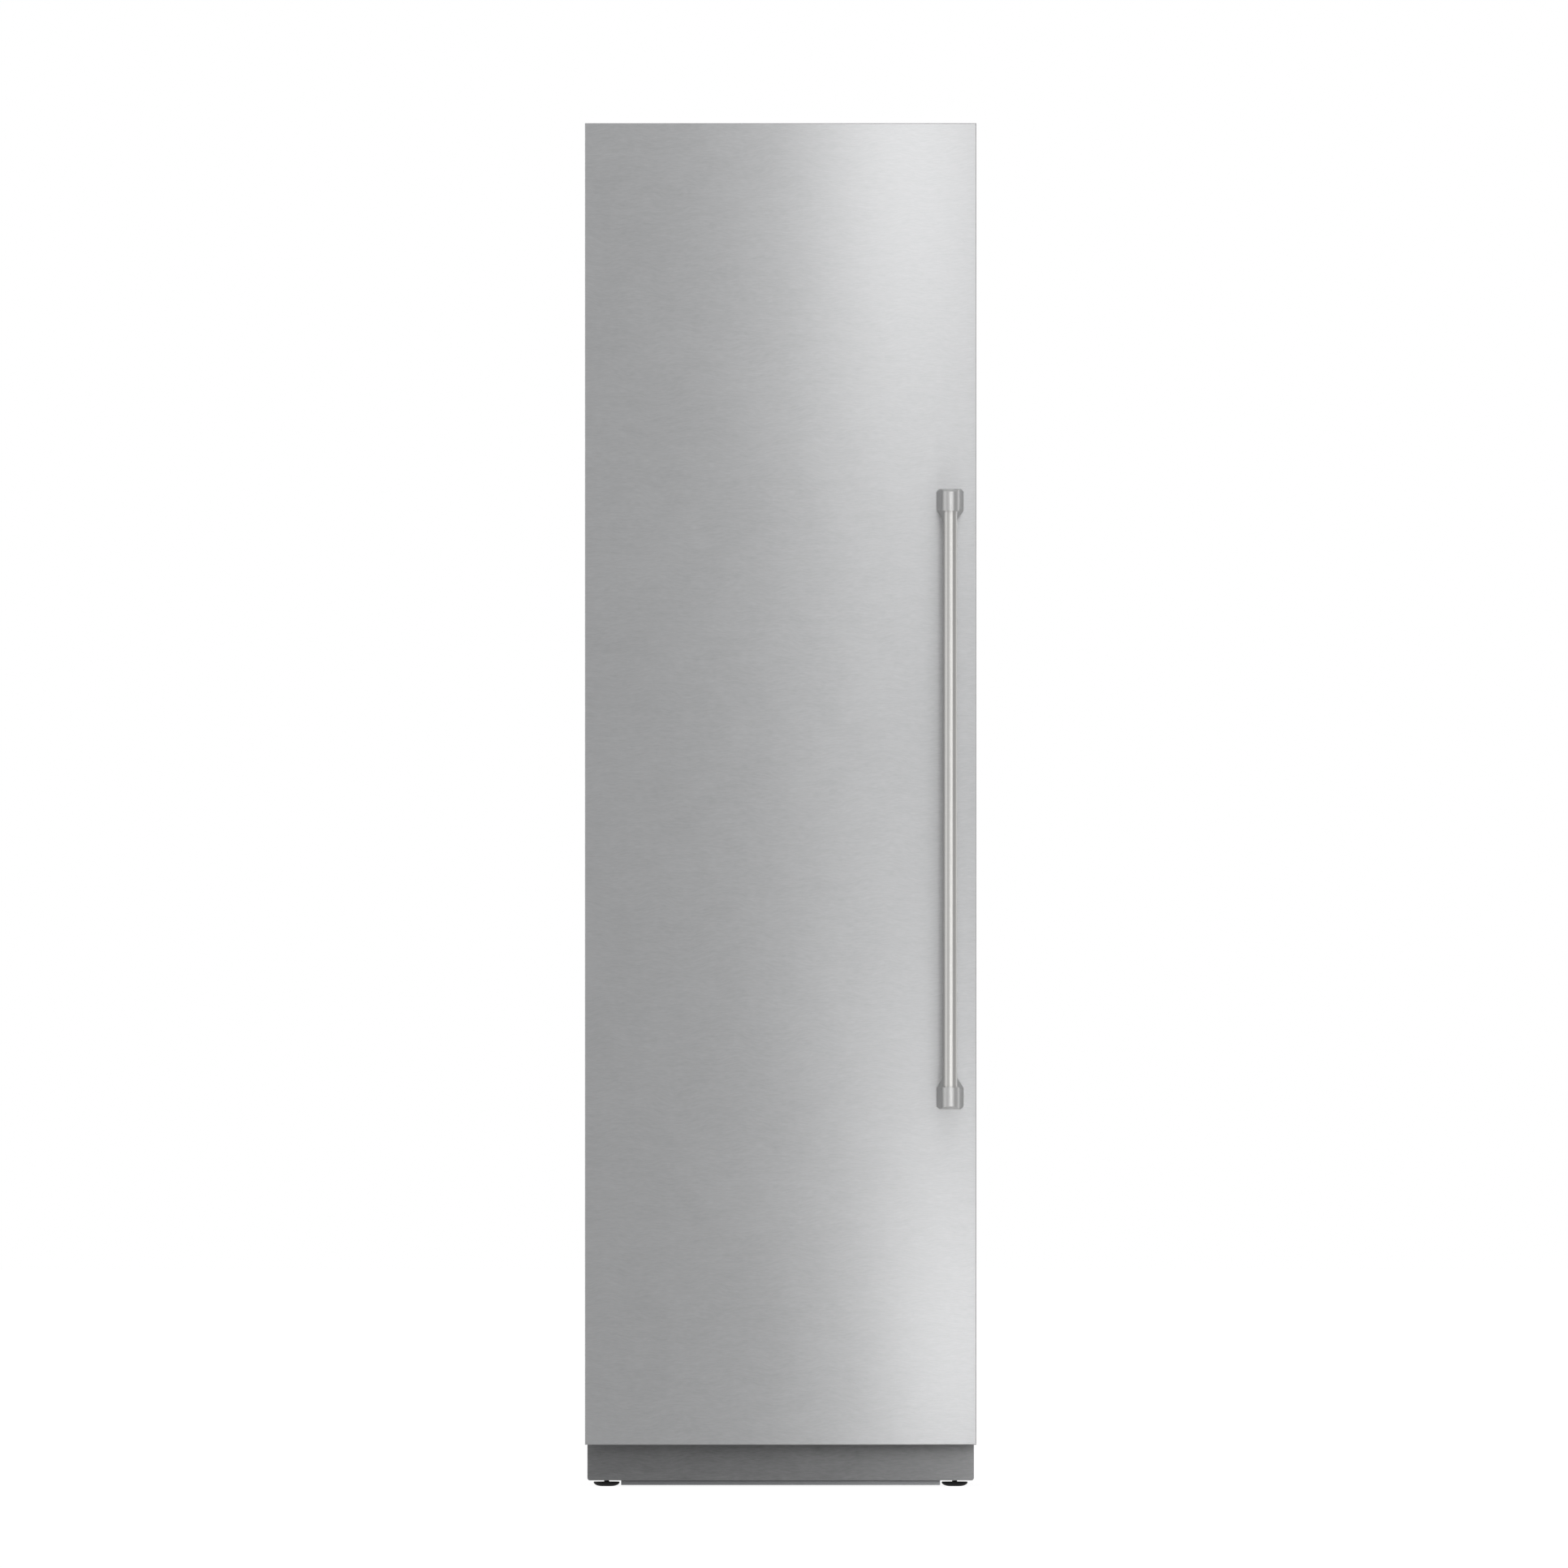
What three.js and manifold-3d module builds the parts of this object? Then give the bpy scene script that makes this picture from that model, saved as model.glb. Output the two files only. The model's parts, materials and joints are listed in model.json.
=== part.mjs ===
import * as THREE from "three";
import Module from "manifold-3d";
import { mergeVertices } from "three/addons/utils/BufferGeometryUtils.js";

// A built-in column freezer: a foamed cabinet for a 24 inch niche, a tall steel-faced door hung on
// a pivot at its top and bottom, bins and shelves inside, and the cooling machinery behind them.
// Sizes are in millimetres and angles in degrees. x runs to the right, y runs back from the door's
// front face, and z runs up from the floor. The door is hung on the left.

// Clearances, and how finely round pieces are cut
const gap = 0.3;
const overrun = 5;
const roundSides = 24;
const smallSides = 12;
const pipeSides = 8;
const pipeSteps = 24;

// Driving sizes
const door = { width: 603, height: 2036, lift: 65, depth: 20, sheet: 1.2 };
const core = { inset: 5.5, bottomInset: 27, topInset: 25, depth: 54.7 };
const gasket = { inset: 6, endInset: 8, width: 16, depth: 11.4 };
const doorLiner = { sheet: 3, ribDepth: 31.7, ribWidth: 17, ribInset: 16 };
const doorBin = { depth: 111, height: 110, wall: 3, lift: 50, frontDrop: 30 };

const hinge = {
  edge: 12.5,
  setback: 9.5,
  leaf: 3,
  leafWidth: 60,
  leafFront: 12,
  leafDepth: 41,
  arm: 5,
  armAngle: 45,
  armReach: 78,
  plateWidth: 88,
  plateLap: 12,
  plateDepth: 74,
  plateInset: 3,
  eyeRadius: 7.5,
  pinRadius: 4,
  pinStandout: 1.5,
  notchFront: 4,
  notchMargin: 1.5,
};

const handle = {
  inset: 40.5,
  lift: 517.3,
  length: 955,
  standoff: 50,
  barRadius: 10.8,
  collarRadius: 13.8,
  collarLength: 33.8,
  boreDepth: 26,
  baseHalfWidth: 21,
  neckHalfWidth: 13,
  baseLength: 47.5,
  shoulder: 32.5,
  tipHalfWidth: 11,
  cornerCut: 4,
  bevelDrop: 4.2,
};

const cabinet = {
  reveal: 3.5,
  depth: 542,
  sheet: 1,
  wall: 50,
  floorWall: 53.3,
  ceilingWall: 54.3,
  backWall: 69,
  frameDepth: 4,
};
const liner = { sheet: 2, ribReach: 10, ribHeight: 6, ribFrontInset: 6, ribBackInset: 8 };

const kick = { sheet: 1.5, lift: 9.2, height: 66.8, return: 13, cornerRadius: 4 };
const tray = { sheet: 1.5, skirtLift: 1.9, skirtGap: 2.4 };
const chassis = { sheet: 2, railWidth: 12, bushRadius: 8, bushHeight: 39 };
const foot = {
  inset: 33.1,
  setback: 25,
  padRadius: 20,
  padHeight: 7.1,
  contactRadius: 7,
  rimHeight: 1,
  socketFloor: 3,
  studRadius: 3,
  studLength: 74,
  steps: 6,
};
const roller = {
  radius: 15,
  width: 16,
  trayClear: 4,
  inset: 73,
  setback: 44,
  axleRadius: 3,
  cheek: 2,
  cheekHalfDepth: 9,
  cheekDrop: 7,
  sideGap: 0.5,
  rimFillet: 1.5,
};

const shelf = { count: 4, glass: 5, doorClear: 15, sideClear: 1.5, backClear: 3 };
const freezerBin = {
  wall: 3,
  floorClear: 8,
  height: 222,
  spacing: 14,
  frontClear: 6,
  backClear: 6,
  sideClear: 3,
  runnerThick: 4,
  runnerReach: 8,
  runnerDrop: 34,
  runnerFront: 34,
  gripHalfWidth: 60,
  gripHeight: 18,
  gripDrop: 12,
};
const cheek = {
  width: 37.7,
  setback: 14,
  grooveClear: 0.8,
  grooveEnd: 1,
  web: 3,
  wall: 5,
  topClear: 6,
  shelfClear: 24,
};
const iceZone = { height: 350 };
const iceMaker = {
  width: 270,
  depth: 245,
  height: 130,
  drop: 35,
  hangerDepth: 30,
  cells: 7,
  mouldDepth: 26,
  dividerHeight: 14,
  dividerWall: 6,
  rim: 14,
  rackWidth: 60,
};
const iceBin = {
  width: 290,
  wall: 3,
  clear: 24,
  frontClear: 8,
  gripHalfWidth: 45,
  gripHeight: 18,
  gripDrop: 14,
};

const evaporator = {
  duct: 49,
  cover: 3,
  halfWidth: 190,
  lift: 60,
  height: 400,
  frontClear: 8,
  fins: 10,
  finSheet: 2,
  tubeRadius: 5,
  tubeRows: 3,
  ventHalfWidth: 90,
  ventHeight: 6,
  ventPitch: 14,
  ventRows: 3,
  ventLift: 90,
};
const coldFan = {
  openingRadius: 54,
  tipGap: 5,
  hubRadius: 12,
  depth: 14,
  coverGap: 3,
  blades: 5,
  bladeSheet: 1.5,
  bladeAngle: 35,
  motorRadius: 24,
  motorDepth: 26,
  shaftRadius: 2.5,
  lift: 130,
};

const compressor = {
  radius: 75,
  height: 160,
  plate: 3,
  plateMargin: 8,
  mountRadius: 12,
  mountHeight: 18,
  wallClear: 14,
  topClear: 39,
  inset: 146.7,
};
const condenser = {
  width: 120,
  inset: 12,
  wallClear: 16,
  height: 190,
  finLift: 36,
  fins: 10,
  finSheet: 2,
  endSheet: 3,
  tubeRadius: 5,
  tubeRows: 3,
};
const warmFan = {
  condenserGap: 8,
  sheet: 2,
  edgeClear: 6,
  topClear: 25,
  rim: 12,
  tipGap: 4,
  hubRadius: 15,
  depth: 22,
  hubGap: 4,
  blades: 5,
  bladeSheet: 1.5,
  bladeAngle: 38,
  motorRadius: 30,
  motorDepth: 28,
  barHalfHeight: 8,
  barDepth: 6,
  barSetback: 40,
  shaftRadius: 3,
};
const drainPan = { height: 26, wall: 2, inset: 4 };
const pipe = { dischargeRadius: 3.5, suctionRadius: 5, ceilingGap: 5, bend: 15, standout: 30 };
const rearCover = {
  slotHeight: 7,
  slotPitch: 15,
  slotRows: 9,
  slotLift: 40,
  slotMargin: 26,
  middleBar: 24,
};
const inlet = { halfWidth: 20, halfHeight: 14, depth: 30, wall: 4, recess: 18, inset: 40, lift: 160 };
const valve = { halfSize: 15, depth: 34, nippleRadius: 10, nippleLength: 20, boreRadius: 5, lift: 80 };

const controlPanel = { halfWidth: 110, depth: 80, height: 24, nose: 12, setback: 20 };
const light = { halfWidth: 90, depth: 80, height: 10, bevel: 4, panelGap: 30 };

const compressorShares = [
  [0.8, 0],
  [1, 0.12],
  [1, 0.7],
  [0.93, 0.84],
  [0.62, 0.96],
  [0, 1],
];

// Places that several pieces share
const halfDoor = door.width / 2;
const doorTop = door.lift + door.height;
const coreBottom = door.lift + core.bottomInset;
const coreTop = doorTop - core.topInset;
const coreHalf = halfDoor - core.inset;
const coreBack = door.depth + gap + core.depth;
const gasketHalf = coreHalf - gasket.inset;
const gasketBack = coreBack + gap + gasket.depth;
const frameFront = gasketBack + gap;
const shellFront = frameFront + cabinet.frameDepth + gap;
const cabinetBack = frameFront + cabinet.depth;
const shellBack = cabinetBack - cabinet.sheet - gap;

const halfCabinet = halfDoor - cabinet.reveal;
const halfInside = halfCabinet - cabinet.sheet - gap;
const cavityHalf = halfCabinet - cabinet.wall;

const armFloor = gap + hinge.leaf + gap;
const boxBottom = coreBottom - gap - hinge.leaf;
const boxTop = coreTop + gap + hinge.leaf;
const pivotX = hinge.edge - halfDoor;

const cavityFloor = boxBottom + cabinet.floorWall;
const cavityCeiling = boxTop - cabinet.ceilingWall;
const cavityBack = cabinetBack - cabinet.backWall;

const trayFloor = 2 * roller.radius + roller.trayClear;
const trayTop = trayFloor + tray.sheet;
const chassisFloor = trayTop + gap;
const beamTop = boxBottom - gap - hinge.arm - gap;
const plateBack = shellFront + hinge.plateDepth;

const machineDepth = 2 * (compressor.radius + compressor.wallClear);
const machineFront = cabinetBack - cabinet.sheet - machineDepth;
const compressorLift = compressor.mountHeight + compressor.plate;
const machineTop = trayTop + compressorLift + compressor.height + compressor.topClear;
const machineMiddle = machineFront + machineDepth / 2;
const stepFront = machineFront - cabinet.wall;
const stepTop = machineTop + cabinet.wall;

const linerBack = coreBack + gap + doorLiner.sheet;
const ribBack = linerBack + doorLiner.ribDepth;
const ribOuter = cavityHalf - doorLiner.ribInset;
const ribInner = ribOuter - doorLiner.ribWidth;
const doorBinBack = linerBack + gap + doorBin.depth;

const coverBack = cavityBack - evaporator.duct;
const coverFront = coverBack - evaporator.cover;

const binFront = ribBack + freezerBin.frontClear;
const binLevels = [
  cavityFloor + freezerBin.floorClear,
  stepTop + freezerBin.spacing,
  stepTop + 2 * freezerBin.spacing + freezerBin.height,
];
const binHeights = [stepTop - binLevels[0], freezerBin.height, freezerBin.height];
const binDepths = [
  stepFront - freezerBin.backClear - binFront,
  coverFront - freezerBin.backClear - binFront,
  coverFront - freezerBin.backClear - binFront,
];
const binTop = binLevels[2] + freezerBin.height;
const cheekInner = cavityHalf - gap - cheek.width;
const binHalf = cheekInner - freezerBin.sideClear;

const lowShelf = binTop + cheek.topClear + cheek.shelfClear;
const highShelf = cavityCeiling - iceZone.height;
const shelfPitch = (highShelf - lowShelf) / (shelf.count - 1);
const shelfLevels = Array.from({ length: shelf.count }, (_, i) => lowShelf + i * shelfPitch);
const shelfFront = doorBinBack + shelf.doorClear;
const shelfBack = coverFront - shelf.backClear;

// Solid building
const wasm = await Module();
wasm.setup();

const across = (half) => [-half, half];
const span = (from, length) => [from, from + length];
const corners = (points) => new THREE.Shape(points.map(([a, b]) => new THREE.Vector2(a, b)));

function solidOf(geometry) {
  const bare = geometry.clone();
  bare.deleteAttribute("normal");
  bare.deleteAttribute("uv");
  const merged = mergeVertices(bare);
  return new wasm.Manifold(
    new wasm.Mesh({
      numProp: 3,
      vertProperties: new Float32Array(merged.attributes.position.array),
      triVerts: new Uint32Array(merged.index.array),
    }),
  );
}

function geometryOf(solid) {
  const mesh = solid.getMesh();
  return new THREE.BufferGeometry()
    .setAttribute("position", new THREE.BufferAttribute(mesh.vertProperties, 3))
    .setIndex(new THREE.BufferAttribute(mesh.triVerts, 1));
}

const join = (first, ...others) => others.reduce((whole, next) => whole.add(next), first);
const cut = (first, ...tools) => tools.reduce((whole, tool) => whole.subtract(tool), first);

function block([x0, x1], [y0, y1], [z0, z1]) {
  const box = new THREE.BoxGeometry(x1 - x0, y1 - y0, z1 - z0);
  return solidOf(box.translate((x0 + x1) / 2, (y0 + y1) / 2, (z0 + z1) / 2));
}

// An outline drawn in (y, z), (x, z) or (x, y) and carried along the third axis.
const prismAxes = {
  x: [new THREE.Vector3(0, 1, 0), new THREE.Vector3(0, 0, 1), new THREE.Vector3(1, 0, 0)],
  y: [new THREE.Vector3(1, 0, 0), new THREE.Vector3(0, 0, 1), new THREE.Vector3(0, -1, 0)],
  z: [new THREE.Vector3(1, 0, 0), new THREE.Vector3(0, 1, 0), new THREE.Vector3(0, 0, 1)],
};

function prism(axis, outline, [from, to]) {
  const settings = { depth: to - from, bevelEnabled: false, curveSegments: smallSides };
  const long = new THREE.ExtrudeGeometry(outline, settings);
  long.applyMatrix4(new THREE.Matrix4().makeBasis(...prismAxes[axis]));
  const shift = { x: [from, 0, 0], y: [0, to, 0], z: [0, 0, from] };
  return solidOf(long.translate(...shift[axis]));
}

function rod(radius, start, end, sides = roundSides) {
  const a = new THREE.Vector3(...start);
  const b = new THREE.Vector3(...end);
  const cylinder = new THREE.CylinderGeometry(radius, radius, a.distanceTo(b), sides);
  const turn = new THREE.Quaternion().setFromUnitVectors(
    new THREE.Vector3(0, 1, 0),
    b.clone().sub(a).normalize(),
  );
  cylinder.applyQuaternion(turn);
  const middle = a.add(b).multiplyScalar(1 / 2);
  return solidOf(cylinder.translate(middle.x, middle.y, middle.z));
}

// A profile of [radius, height] points turned about the z axis.
function turned(profile, sides = roundSides) {
  const points = profile.map(([r, h]) => new THREE.Vector2(r, h));
  return solidOf(new THREE.LatheGeometry(points, sides).rotateX(Math.PI / 2));
}

// A pipe along straight runs, with its corners rounded.
function bentPipe(points, radius) {
  const at = points.map((p) => new THREE.Vector3(...p));
  const path = new THREE.CurvePath();
  const towards = (from, to) => to.clone().sub(from).setLength(pipe.bend).add(from);
  let last = at[0];
  for (let i = 1; i < at.length - 1; i++) {
    const enter = towards(at[i], at[i - 1]);
    const leave = towards(at[i], at[i + 1]);
    path.add(new THREE.LineCurve3(last, enter));
    path.add(new THREE.QuadraticBezierCurve3(enter, at[i], leave));
    last = leave;
  }
  path.add(new THREE.LineCurve3(last, at.at(-1)));
  const ring = Array.from({ length: pipeSides }, (_, i) => {
    const angle = (2 * Math.PI * i) / pipeSides;
    return [radius * Math.cos(angle), radius * Math.sin(angle)];
  });
  const settings = { extrudePath: path, steps: pipeSteps, bevelEnabled: false };
  return solidOf(new THREE.ExtrudeGeometry(corners(ring), settings));
}

// A rectangular ring in the (x, z) plane, as a frame round a doorway.
function ring(outerHalf, outerZ, innerHalf, innerZ, [y0, y1]) {
  const hole = block(across(innerHalf), [y0 - overrun, y1 + overrun], innerZ);
  return cut(block(across(outerHalf), [y0, y1], outerZ), hole);
}

// Finishes
const finish = (color, roughness, metalness) =>
  new THREE.MeshStandardMaterial({ color, roughness, metalness });
const brushedSteel = finish(0xc4c5c6, 0.34, 1);
const polishedSteel = finish(0xd4d3cf, 0.16, 1);
const kickSteel = finish(0x6f7072, 0.45, 1);
const zincSteel = finish(0xa7aaad, 0.5, 1);
const greyPaint = finish(0x8c8f92, 0.6, 0.2);
const blackPaint = finish(0x1c1d1f, 0.45, 0.3);
const whitePlastic = finish(0xeef0f1, 0.45, 0);
const clearPlastic = finish(0xdfe8ec, 0.2, 0);
const shelfGlass = finish(0xcfe3e4, 0.08, 0);
const darkPlastic = finish(0x2a2b2d, 0.55, 0);
const softRubber = finish(0xc9cbcc, 0.8, 0);
const blackRubber = finish(0x0f0f10, 0.75, 0);
const foamFill = finish(0xe8dcb4, 0.9, 0);
const aluminium = finish(0xc8cbd0, 0.4, 1);
const copper = finish(0xb87349, 0.35, 1);

// Scene graph
const freezer = new THREE.Group();
const cabinetGroup = new THREE.Group();
const machineGroup = new THREE.Group();
const doorGroup = new THREE.Group();
freezer.add(cabinetGroup, doorGroup);
cabinetGroup.add(machineGroup);

// The origin is under the middle of the whole, from the handle's front to the cabinet's back.
const handleReach = handle.standoff + handle.collarRadius;
freezer.position.y = (handleReach - cabinetBack) / 2;
const centred = new THREE.Group();
centred.add(freezer);

function place(parent, name, solid, material, position = [0, 0, 0]) {
  const mesh = new THREE.Mesh(geometryOf(solid), material);
  mesh.name = name;
  mesh.position.set(...position);
  parent.add(mesh);
  return mesh;
}

// The door

function hingeNotch([z0, z1]) {
  const left = [-halfDoor - overrun, door.sheet + gap - halfDoor];
  const margin = hinge.notchMargin;
  return block(left, [hinge.notchFront, door.depth + overrun], [z0 - margin, z1 + margin]);
}

function doorPanel() {
  const sheet = door.sheet;
  const outer = block(across(halfDoor), [0, door.depth], [door.lift, doorTop]);
  const hollow = block(
    across(halfDoor - sheet),
    [sheet, door.depth + overrun],
    [door.lift + sheet, doorTop - sheet],
  );
  const lowArm = [coreBottom - armFloor - hinge.arm, coreBottom - armFloor];
  const highArm = [coreTop + armFloor, coreTop + armFloor + hinge.arm];
  return cut(outer, hollow, hingeNotch(lowArm), hingeNotch(highArm));
}

// The foamed body of the door is wider where it fills the steel panel.
function doorCore() {
  const panelHalf = halfDoor - door.sheet - gap;
  const outline = corners([
    [-panelHalf, door.sheet + gap],
    [panelHalf, door.sheet + gap],
    [panelHalf, door.depth],
    [coreHalf, door.depth],
    [coreHalf, coreBack],
    [-coreHalf, coreBack],
    [-coreHalf, door.depth],
    [-panelHalf, door.depth],
  ]);
  return prism("z", outline, [coreBottom, coreTop]);
}

const gasketSpan = [coreBottom + gasket.endInset, coreTop - gasket.endInset];
const gasketHole = [gasketSpan[0] + gasket.width, gasketSpan[1] - gasket.width];

function doorGasket() {
  const depth = [coreBack + gap, gasketBack];
  return ring(gasketHalf, gasketSpan, gasketHalf - gasket.width, gasketHole, depth);
}

function doorInnerLiner() {
  const half = gasketHalf - gasket.width - gap;
  const plate = block(
    across(half),
    [coreBack + gap, linerBack],
    [gasketHole[0] + gap, gasketHole[1] - gap],
  );
  const outerZ = [cavityFloor + doorLiner.ribInset, cavityCeiling - doorLiner.ribInset];
  const innerZ = [outerZ[0] + doorLiner.ribWidth, outerZ[1] - doorLiner.ribWidth];
  const ribs = ring(ribOuter, outerZ, ribInner, innerZ, [linerBack - doorLiner.sheet / 2, ribBack]);
  return join(plate, ribs);
}

// A box open at the top, with its front wall lower than the rest.
function doorBinShell() {
  const half = ribInner - gap;
  const { wall, depth, height } = doorBin;
  const outer = block(across(half), [0, depth], [0, height]);
  const inside = block(across(half - wall), [wall, depth - wall], [wall, height + overrun]);
  const lowFront = prism(
    "x",
    corners([
      [depth - doorBin.frontDrop, height + overrun],
      [depth - doorBin.frontDrop, height],
      [depth, height - doorBin.frontDrop],
      [depth + overrun, height - doorBin.frontDrop],
      [depth + overrun, height + overrun],
    ]),
    across(half + overrun),
  );
  return cut(outer, inside, lowFront);
}

// The hinge pieces are drawn for the top of the door, from the core's top face up, and turned
// over for the bottom.
function hingeLeaf() {
  const left = -coreHalf + gap;
  const thick = span(gap, hinge.leaf);
  const leafY = span(door.depth + hinge.leafFront, hinge.leafDepth);
  const plate = block(span(left, hinge.leafWidth), leafY, thick);
  const tongueX = across(hinge.eyeRadius).map((x) => x + pivotX);
  const tongueY = [hinge.setback, door.depth + hinge.leafFront + hinge.leafDepth / 2];
  const eye = rod(hinge.eyeRadius, [pivotX, hinge.setback, thick[0]], [pivotX, hinge.setback, thick[1]]);
  const pinTop = armFloor + hinge.arm + hinge.pinStandout;
  const pin = rod(hinge.pinRadius, [pivotX, hinge.setback, gap], [pivotX, hinge.setback, pinTop]);
  return join(plate, block(tongueX, tongueY, thick), eye, pin);
}

function hingeArm() {
  const thick = span(armFloor, hinge.arm);
  const angle = (hinge.armAngle * Math.PI) / 180;
  const reach = [Math.cos(angle) * hinge.armReach, Math.sin(angle) * hinge.armReach];
  const arm = new THREE.Shape();
  arm.absarc(pivotX, hinge.setback, hinge.eyeRadius, angle + Math.PI / 2, angle - Math.PI / 2, false);
  const side = [Math.sin(angle) * hinge.eyeRadius, -Math.cos(angle) * hinge.eyeRadius];
  arm.lineTo(pivotX + reach[0] + side[0], hinge.setback + reach[1] + side[1]);
  arm.lineTo(pivotX + reach[0] - side[0], hinge.setback + reach[1] - side[1]);
  arm.closePath();
  const plate = block(
    span(hinge.plateInset - halfCabinet, hinge.plateWidth),
    [hinge.setback + reach[1] - hinge.plateLap, plateBack],
    thick,
  );
  const bore = rod(
    hinge.pinRadius + gap,
    [pivotX, hinge.setback, thick[0] - overrun],
    [pivotX, hinge.setback, thick[1] + overrun],
  );
  return cut(join(prism("z", arm, thick), plate), bore);
}

const handleX = halfDoor - handle.inset;
const handleBottom = door.lift + handle.lift;
const handleTop = handleBottom + handle.length;
const boreInset = handle.collarLength - handle.boreDepth;

function handleBar() {
  const inset = boreInset + gap;
  return rod(handle.barRadius, [0, 0, handleBottom + inset], [0, 0, handleTop - inset]);
}

// A collar round the bar's end on a post that widens to the door, drawn with its outer end at zero.
function handleBracket() {
  const h = handle;
  const collar = rod(h.collarRadius, [0, -h.standoff, -h.collarLength], [0, -h.standoff, 0]);
  const fromFront = corners([
    [h.cornerCut - h.baseHalfWidth, 0],
    [-h.baseHalfWidth, -h.cornerCut],
    [-h.baseHalfWidth, -h.shoulder],
    [-h.tipHalfWidth, -h.baseLength],
    [h.tipHalfWidth, -h.baseLength],
    [h.baseHalfWidth, -h.shoulder],
    [h.baseHalfWidth, -h.cornerCut],
    [h.baseHalfWidth - h.cornerCut, 0],
  ]);
  const fromAbove = corners([
    [-h.neckHalfWidth, -h.standoff],
    [h.neckHalfWidth, -h.standoff],
    [h.baseHalfWidth, -gap],
    [-h.baseHalfWidth, -gap],
  ]);
  const fromSide = corners([
    [-h.standoff, -h.collarLength],
    [-gap, -h.baseLength],
    [-gap, 0],
    [-h.standoff, 0],
  ]);
  const post = prism("y", fromFront, [-h.standoff, -gap])
    .intersect(prism("z", fromAbove, [-h.baseLength, 0]))
    .intersect(prism("x", fromSide, across(h.baseHalfWidth)));
  const nose = h.collarRadius + overrun;
  const bevel = corners([
    [-h.standoff, 0],
    [-h.standoff, overrun],
    [-h.standoff - nose, overrun],
    [-h.standoff - nose, (-h.bevelDrop * nose) / h.collarRadius],
  ]);
  const bore = rod(
    h.barRadius + gap,
    [0, -h.standoff, -h.baseLength - overrun],
    [0, -h.standoff, -boreInset],
  );
  return cut(join(collar, post), prism("x", bevel, across(nose)), bore);
}

function buildDoor() {
  place(doorGroup, "door_panel", doorPanel(), brushedSteel);
  place(doorGroup, "door_core", doorCore(), whitePlastic);
  place(doorGroup, "door_gasket", doorGasket(), softRubber);
  place(doorGroup, "door_inner_liner", doorInnerLiner(), whitePlastic);
  shelfLevels.forEach((level, i) => {
    const position = [0, linerBack + gap, level + doorBin.lift];
    place(doorGroup, `door_bin_${i + 1}`, doorBinShell(), clearPlastic, position);
  });
  place(doorGroup, "door_hinge_leaf_top", hingeLeaf(), zincSteel, [0, 0, coreTop]);
  const lowLeaf = place(doorGroup, "door_hinge_leaf_bottom", hingeLeaf(), zincSteel, [0, 0, coreBottom]);
  lowLeaf.scale.z = -1;
  place(doorGroup, "handle_bar", handleBar(), polishedSteel, [handleX, -handle.standoff, 0]);
  place(doorGroup, "handle_bracket_top", handleBracket(), brushedSteel, [handleX, 0, handleTop]);
  const lowBracket = place(
    doorGroup,
    "handle_bracket_bottom",
    handleBracket(),
    brushedSteel,
    [handleX, 0, handleBottom],
  );
  lowBracket.scale.z = -1;
}

// The cabinet's shell

function sidePanel() {
  return block([0, cabinet.sheet], [shellFront, shellBack], [trayFloor, boxTop]);
}

function topPanel() {
  return block(across(halfInside), [shellFront, shellBack], [boxTop - cabinet.sheet, boxTop]);
}

function backPanel() {
  const z = [machineTop + gap, boxTop];
  return block(across(halfCabinet), [cabinetBack - cabinet.sheet, cabinetBack], z);
}

// One folded sheet: the floor of the foamed box, the front wall of the machine space and its roof.
function machineDivider() {
  const sheet = cabinet.sheet;
  const outline = corners([
    [shellFront, boxBottom],
    [machineFront, boxBottom],
    [machineFront, machineTop - sheet],
    [shellBack, machineTop - sheet],
    [shellBack, machineTop],
    [machineFront - sheet, machineTop],
    [machineFront - sheet, boxBottom + sheet],
    [shellFront, boxBottom + sheet],
  ]);
  return prism("x", outline, across(halfInside));
}

// The outline of the cavity in (y, z), grown by a margin, with its step over the machine space.
function cavityOutline(margin, front) {
  return corners([
    [front, cavityFloor - margin],
    [stepFront + margin, cavityFloor - margin],
    [stepFront + margin, stepTop - margin],
    [cavityBack + margin, stepTop - margin],
    [cavityBack + margin, cavityCeiling + margin],
    [front, cavityCeiling + margin],
  ]);
}

function cabinetFoam() {
  const sheet = cabinet.sheet;
  const outer = corners([
    [shellFront, boxBottom + sheet + gap],
    [machineFront - sheet - gap, boxBottom + sheet + gap],
    [machineFront - sheet - gap, machineTop + gap],
    [shellBack, machineTop + gap],
    [shellBack, boxTop - sheet - gap],
    [shellFront, boxTop - sheet - gap],
  ]);
  const margin = liner.sheet + gap;
  const room = prism("x", cavityOutline(margin, shellFront - overrun), across(cavityHalf + margin));
  return cut(prism("x", outer, across(halfInside)), room);
}

function innerLiner() {
  const outer = prism("x", cavityOutline(liner.sheet, shellFront), across(cavityHalf + liner.sheet));
  const room = prism("x", cavityOutline(0, shellFront - overrun), across(cavityHalf));
  const ribs = shelfLevels.flatMap((level) =>
    [-1, 1].map((side) => {
      const x = [side * (cavityHalf + liner.sheet / 2), side * (cavityHalf - liner.ribReach)];
      x.sort((a, b) => a - b);
      const y = [shelfFront + liner.ribFrontInset, coverFront - liner.ribBackInset];
      return block(x, y, [level - gap - liner.ribHeight, level - gap]);
    }),
  );
  return join(cut(outer, room), ...ribs);
}

function frontFrame() {
  const depth = [frameFront, frameFront + cabinet.frameDepth];
  return ring(halfCabinet, [boxBottom, boxTop], cavityHalf, [cavityFloor, cavityCeiling], depth);
}

// The base

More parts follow.
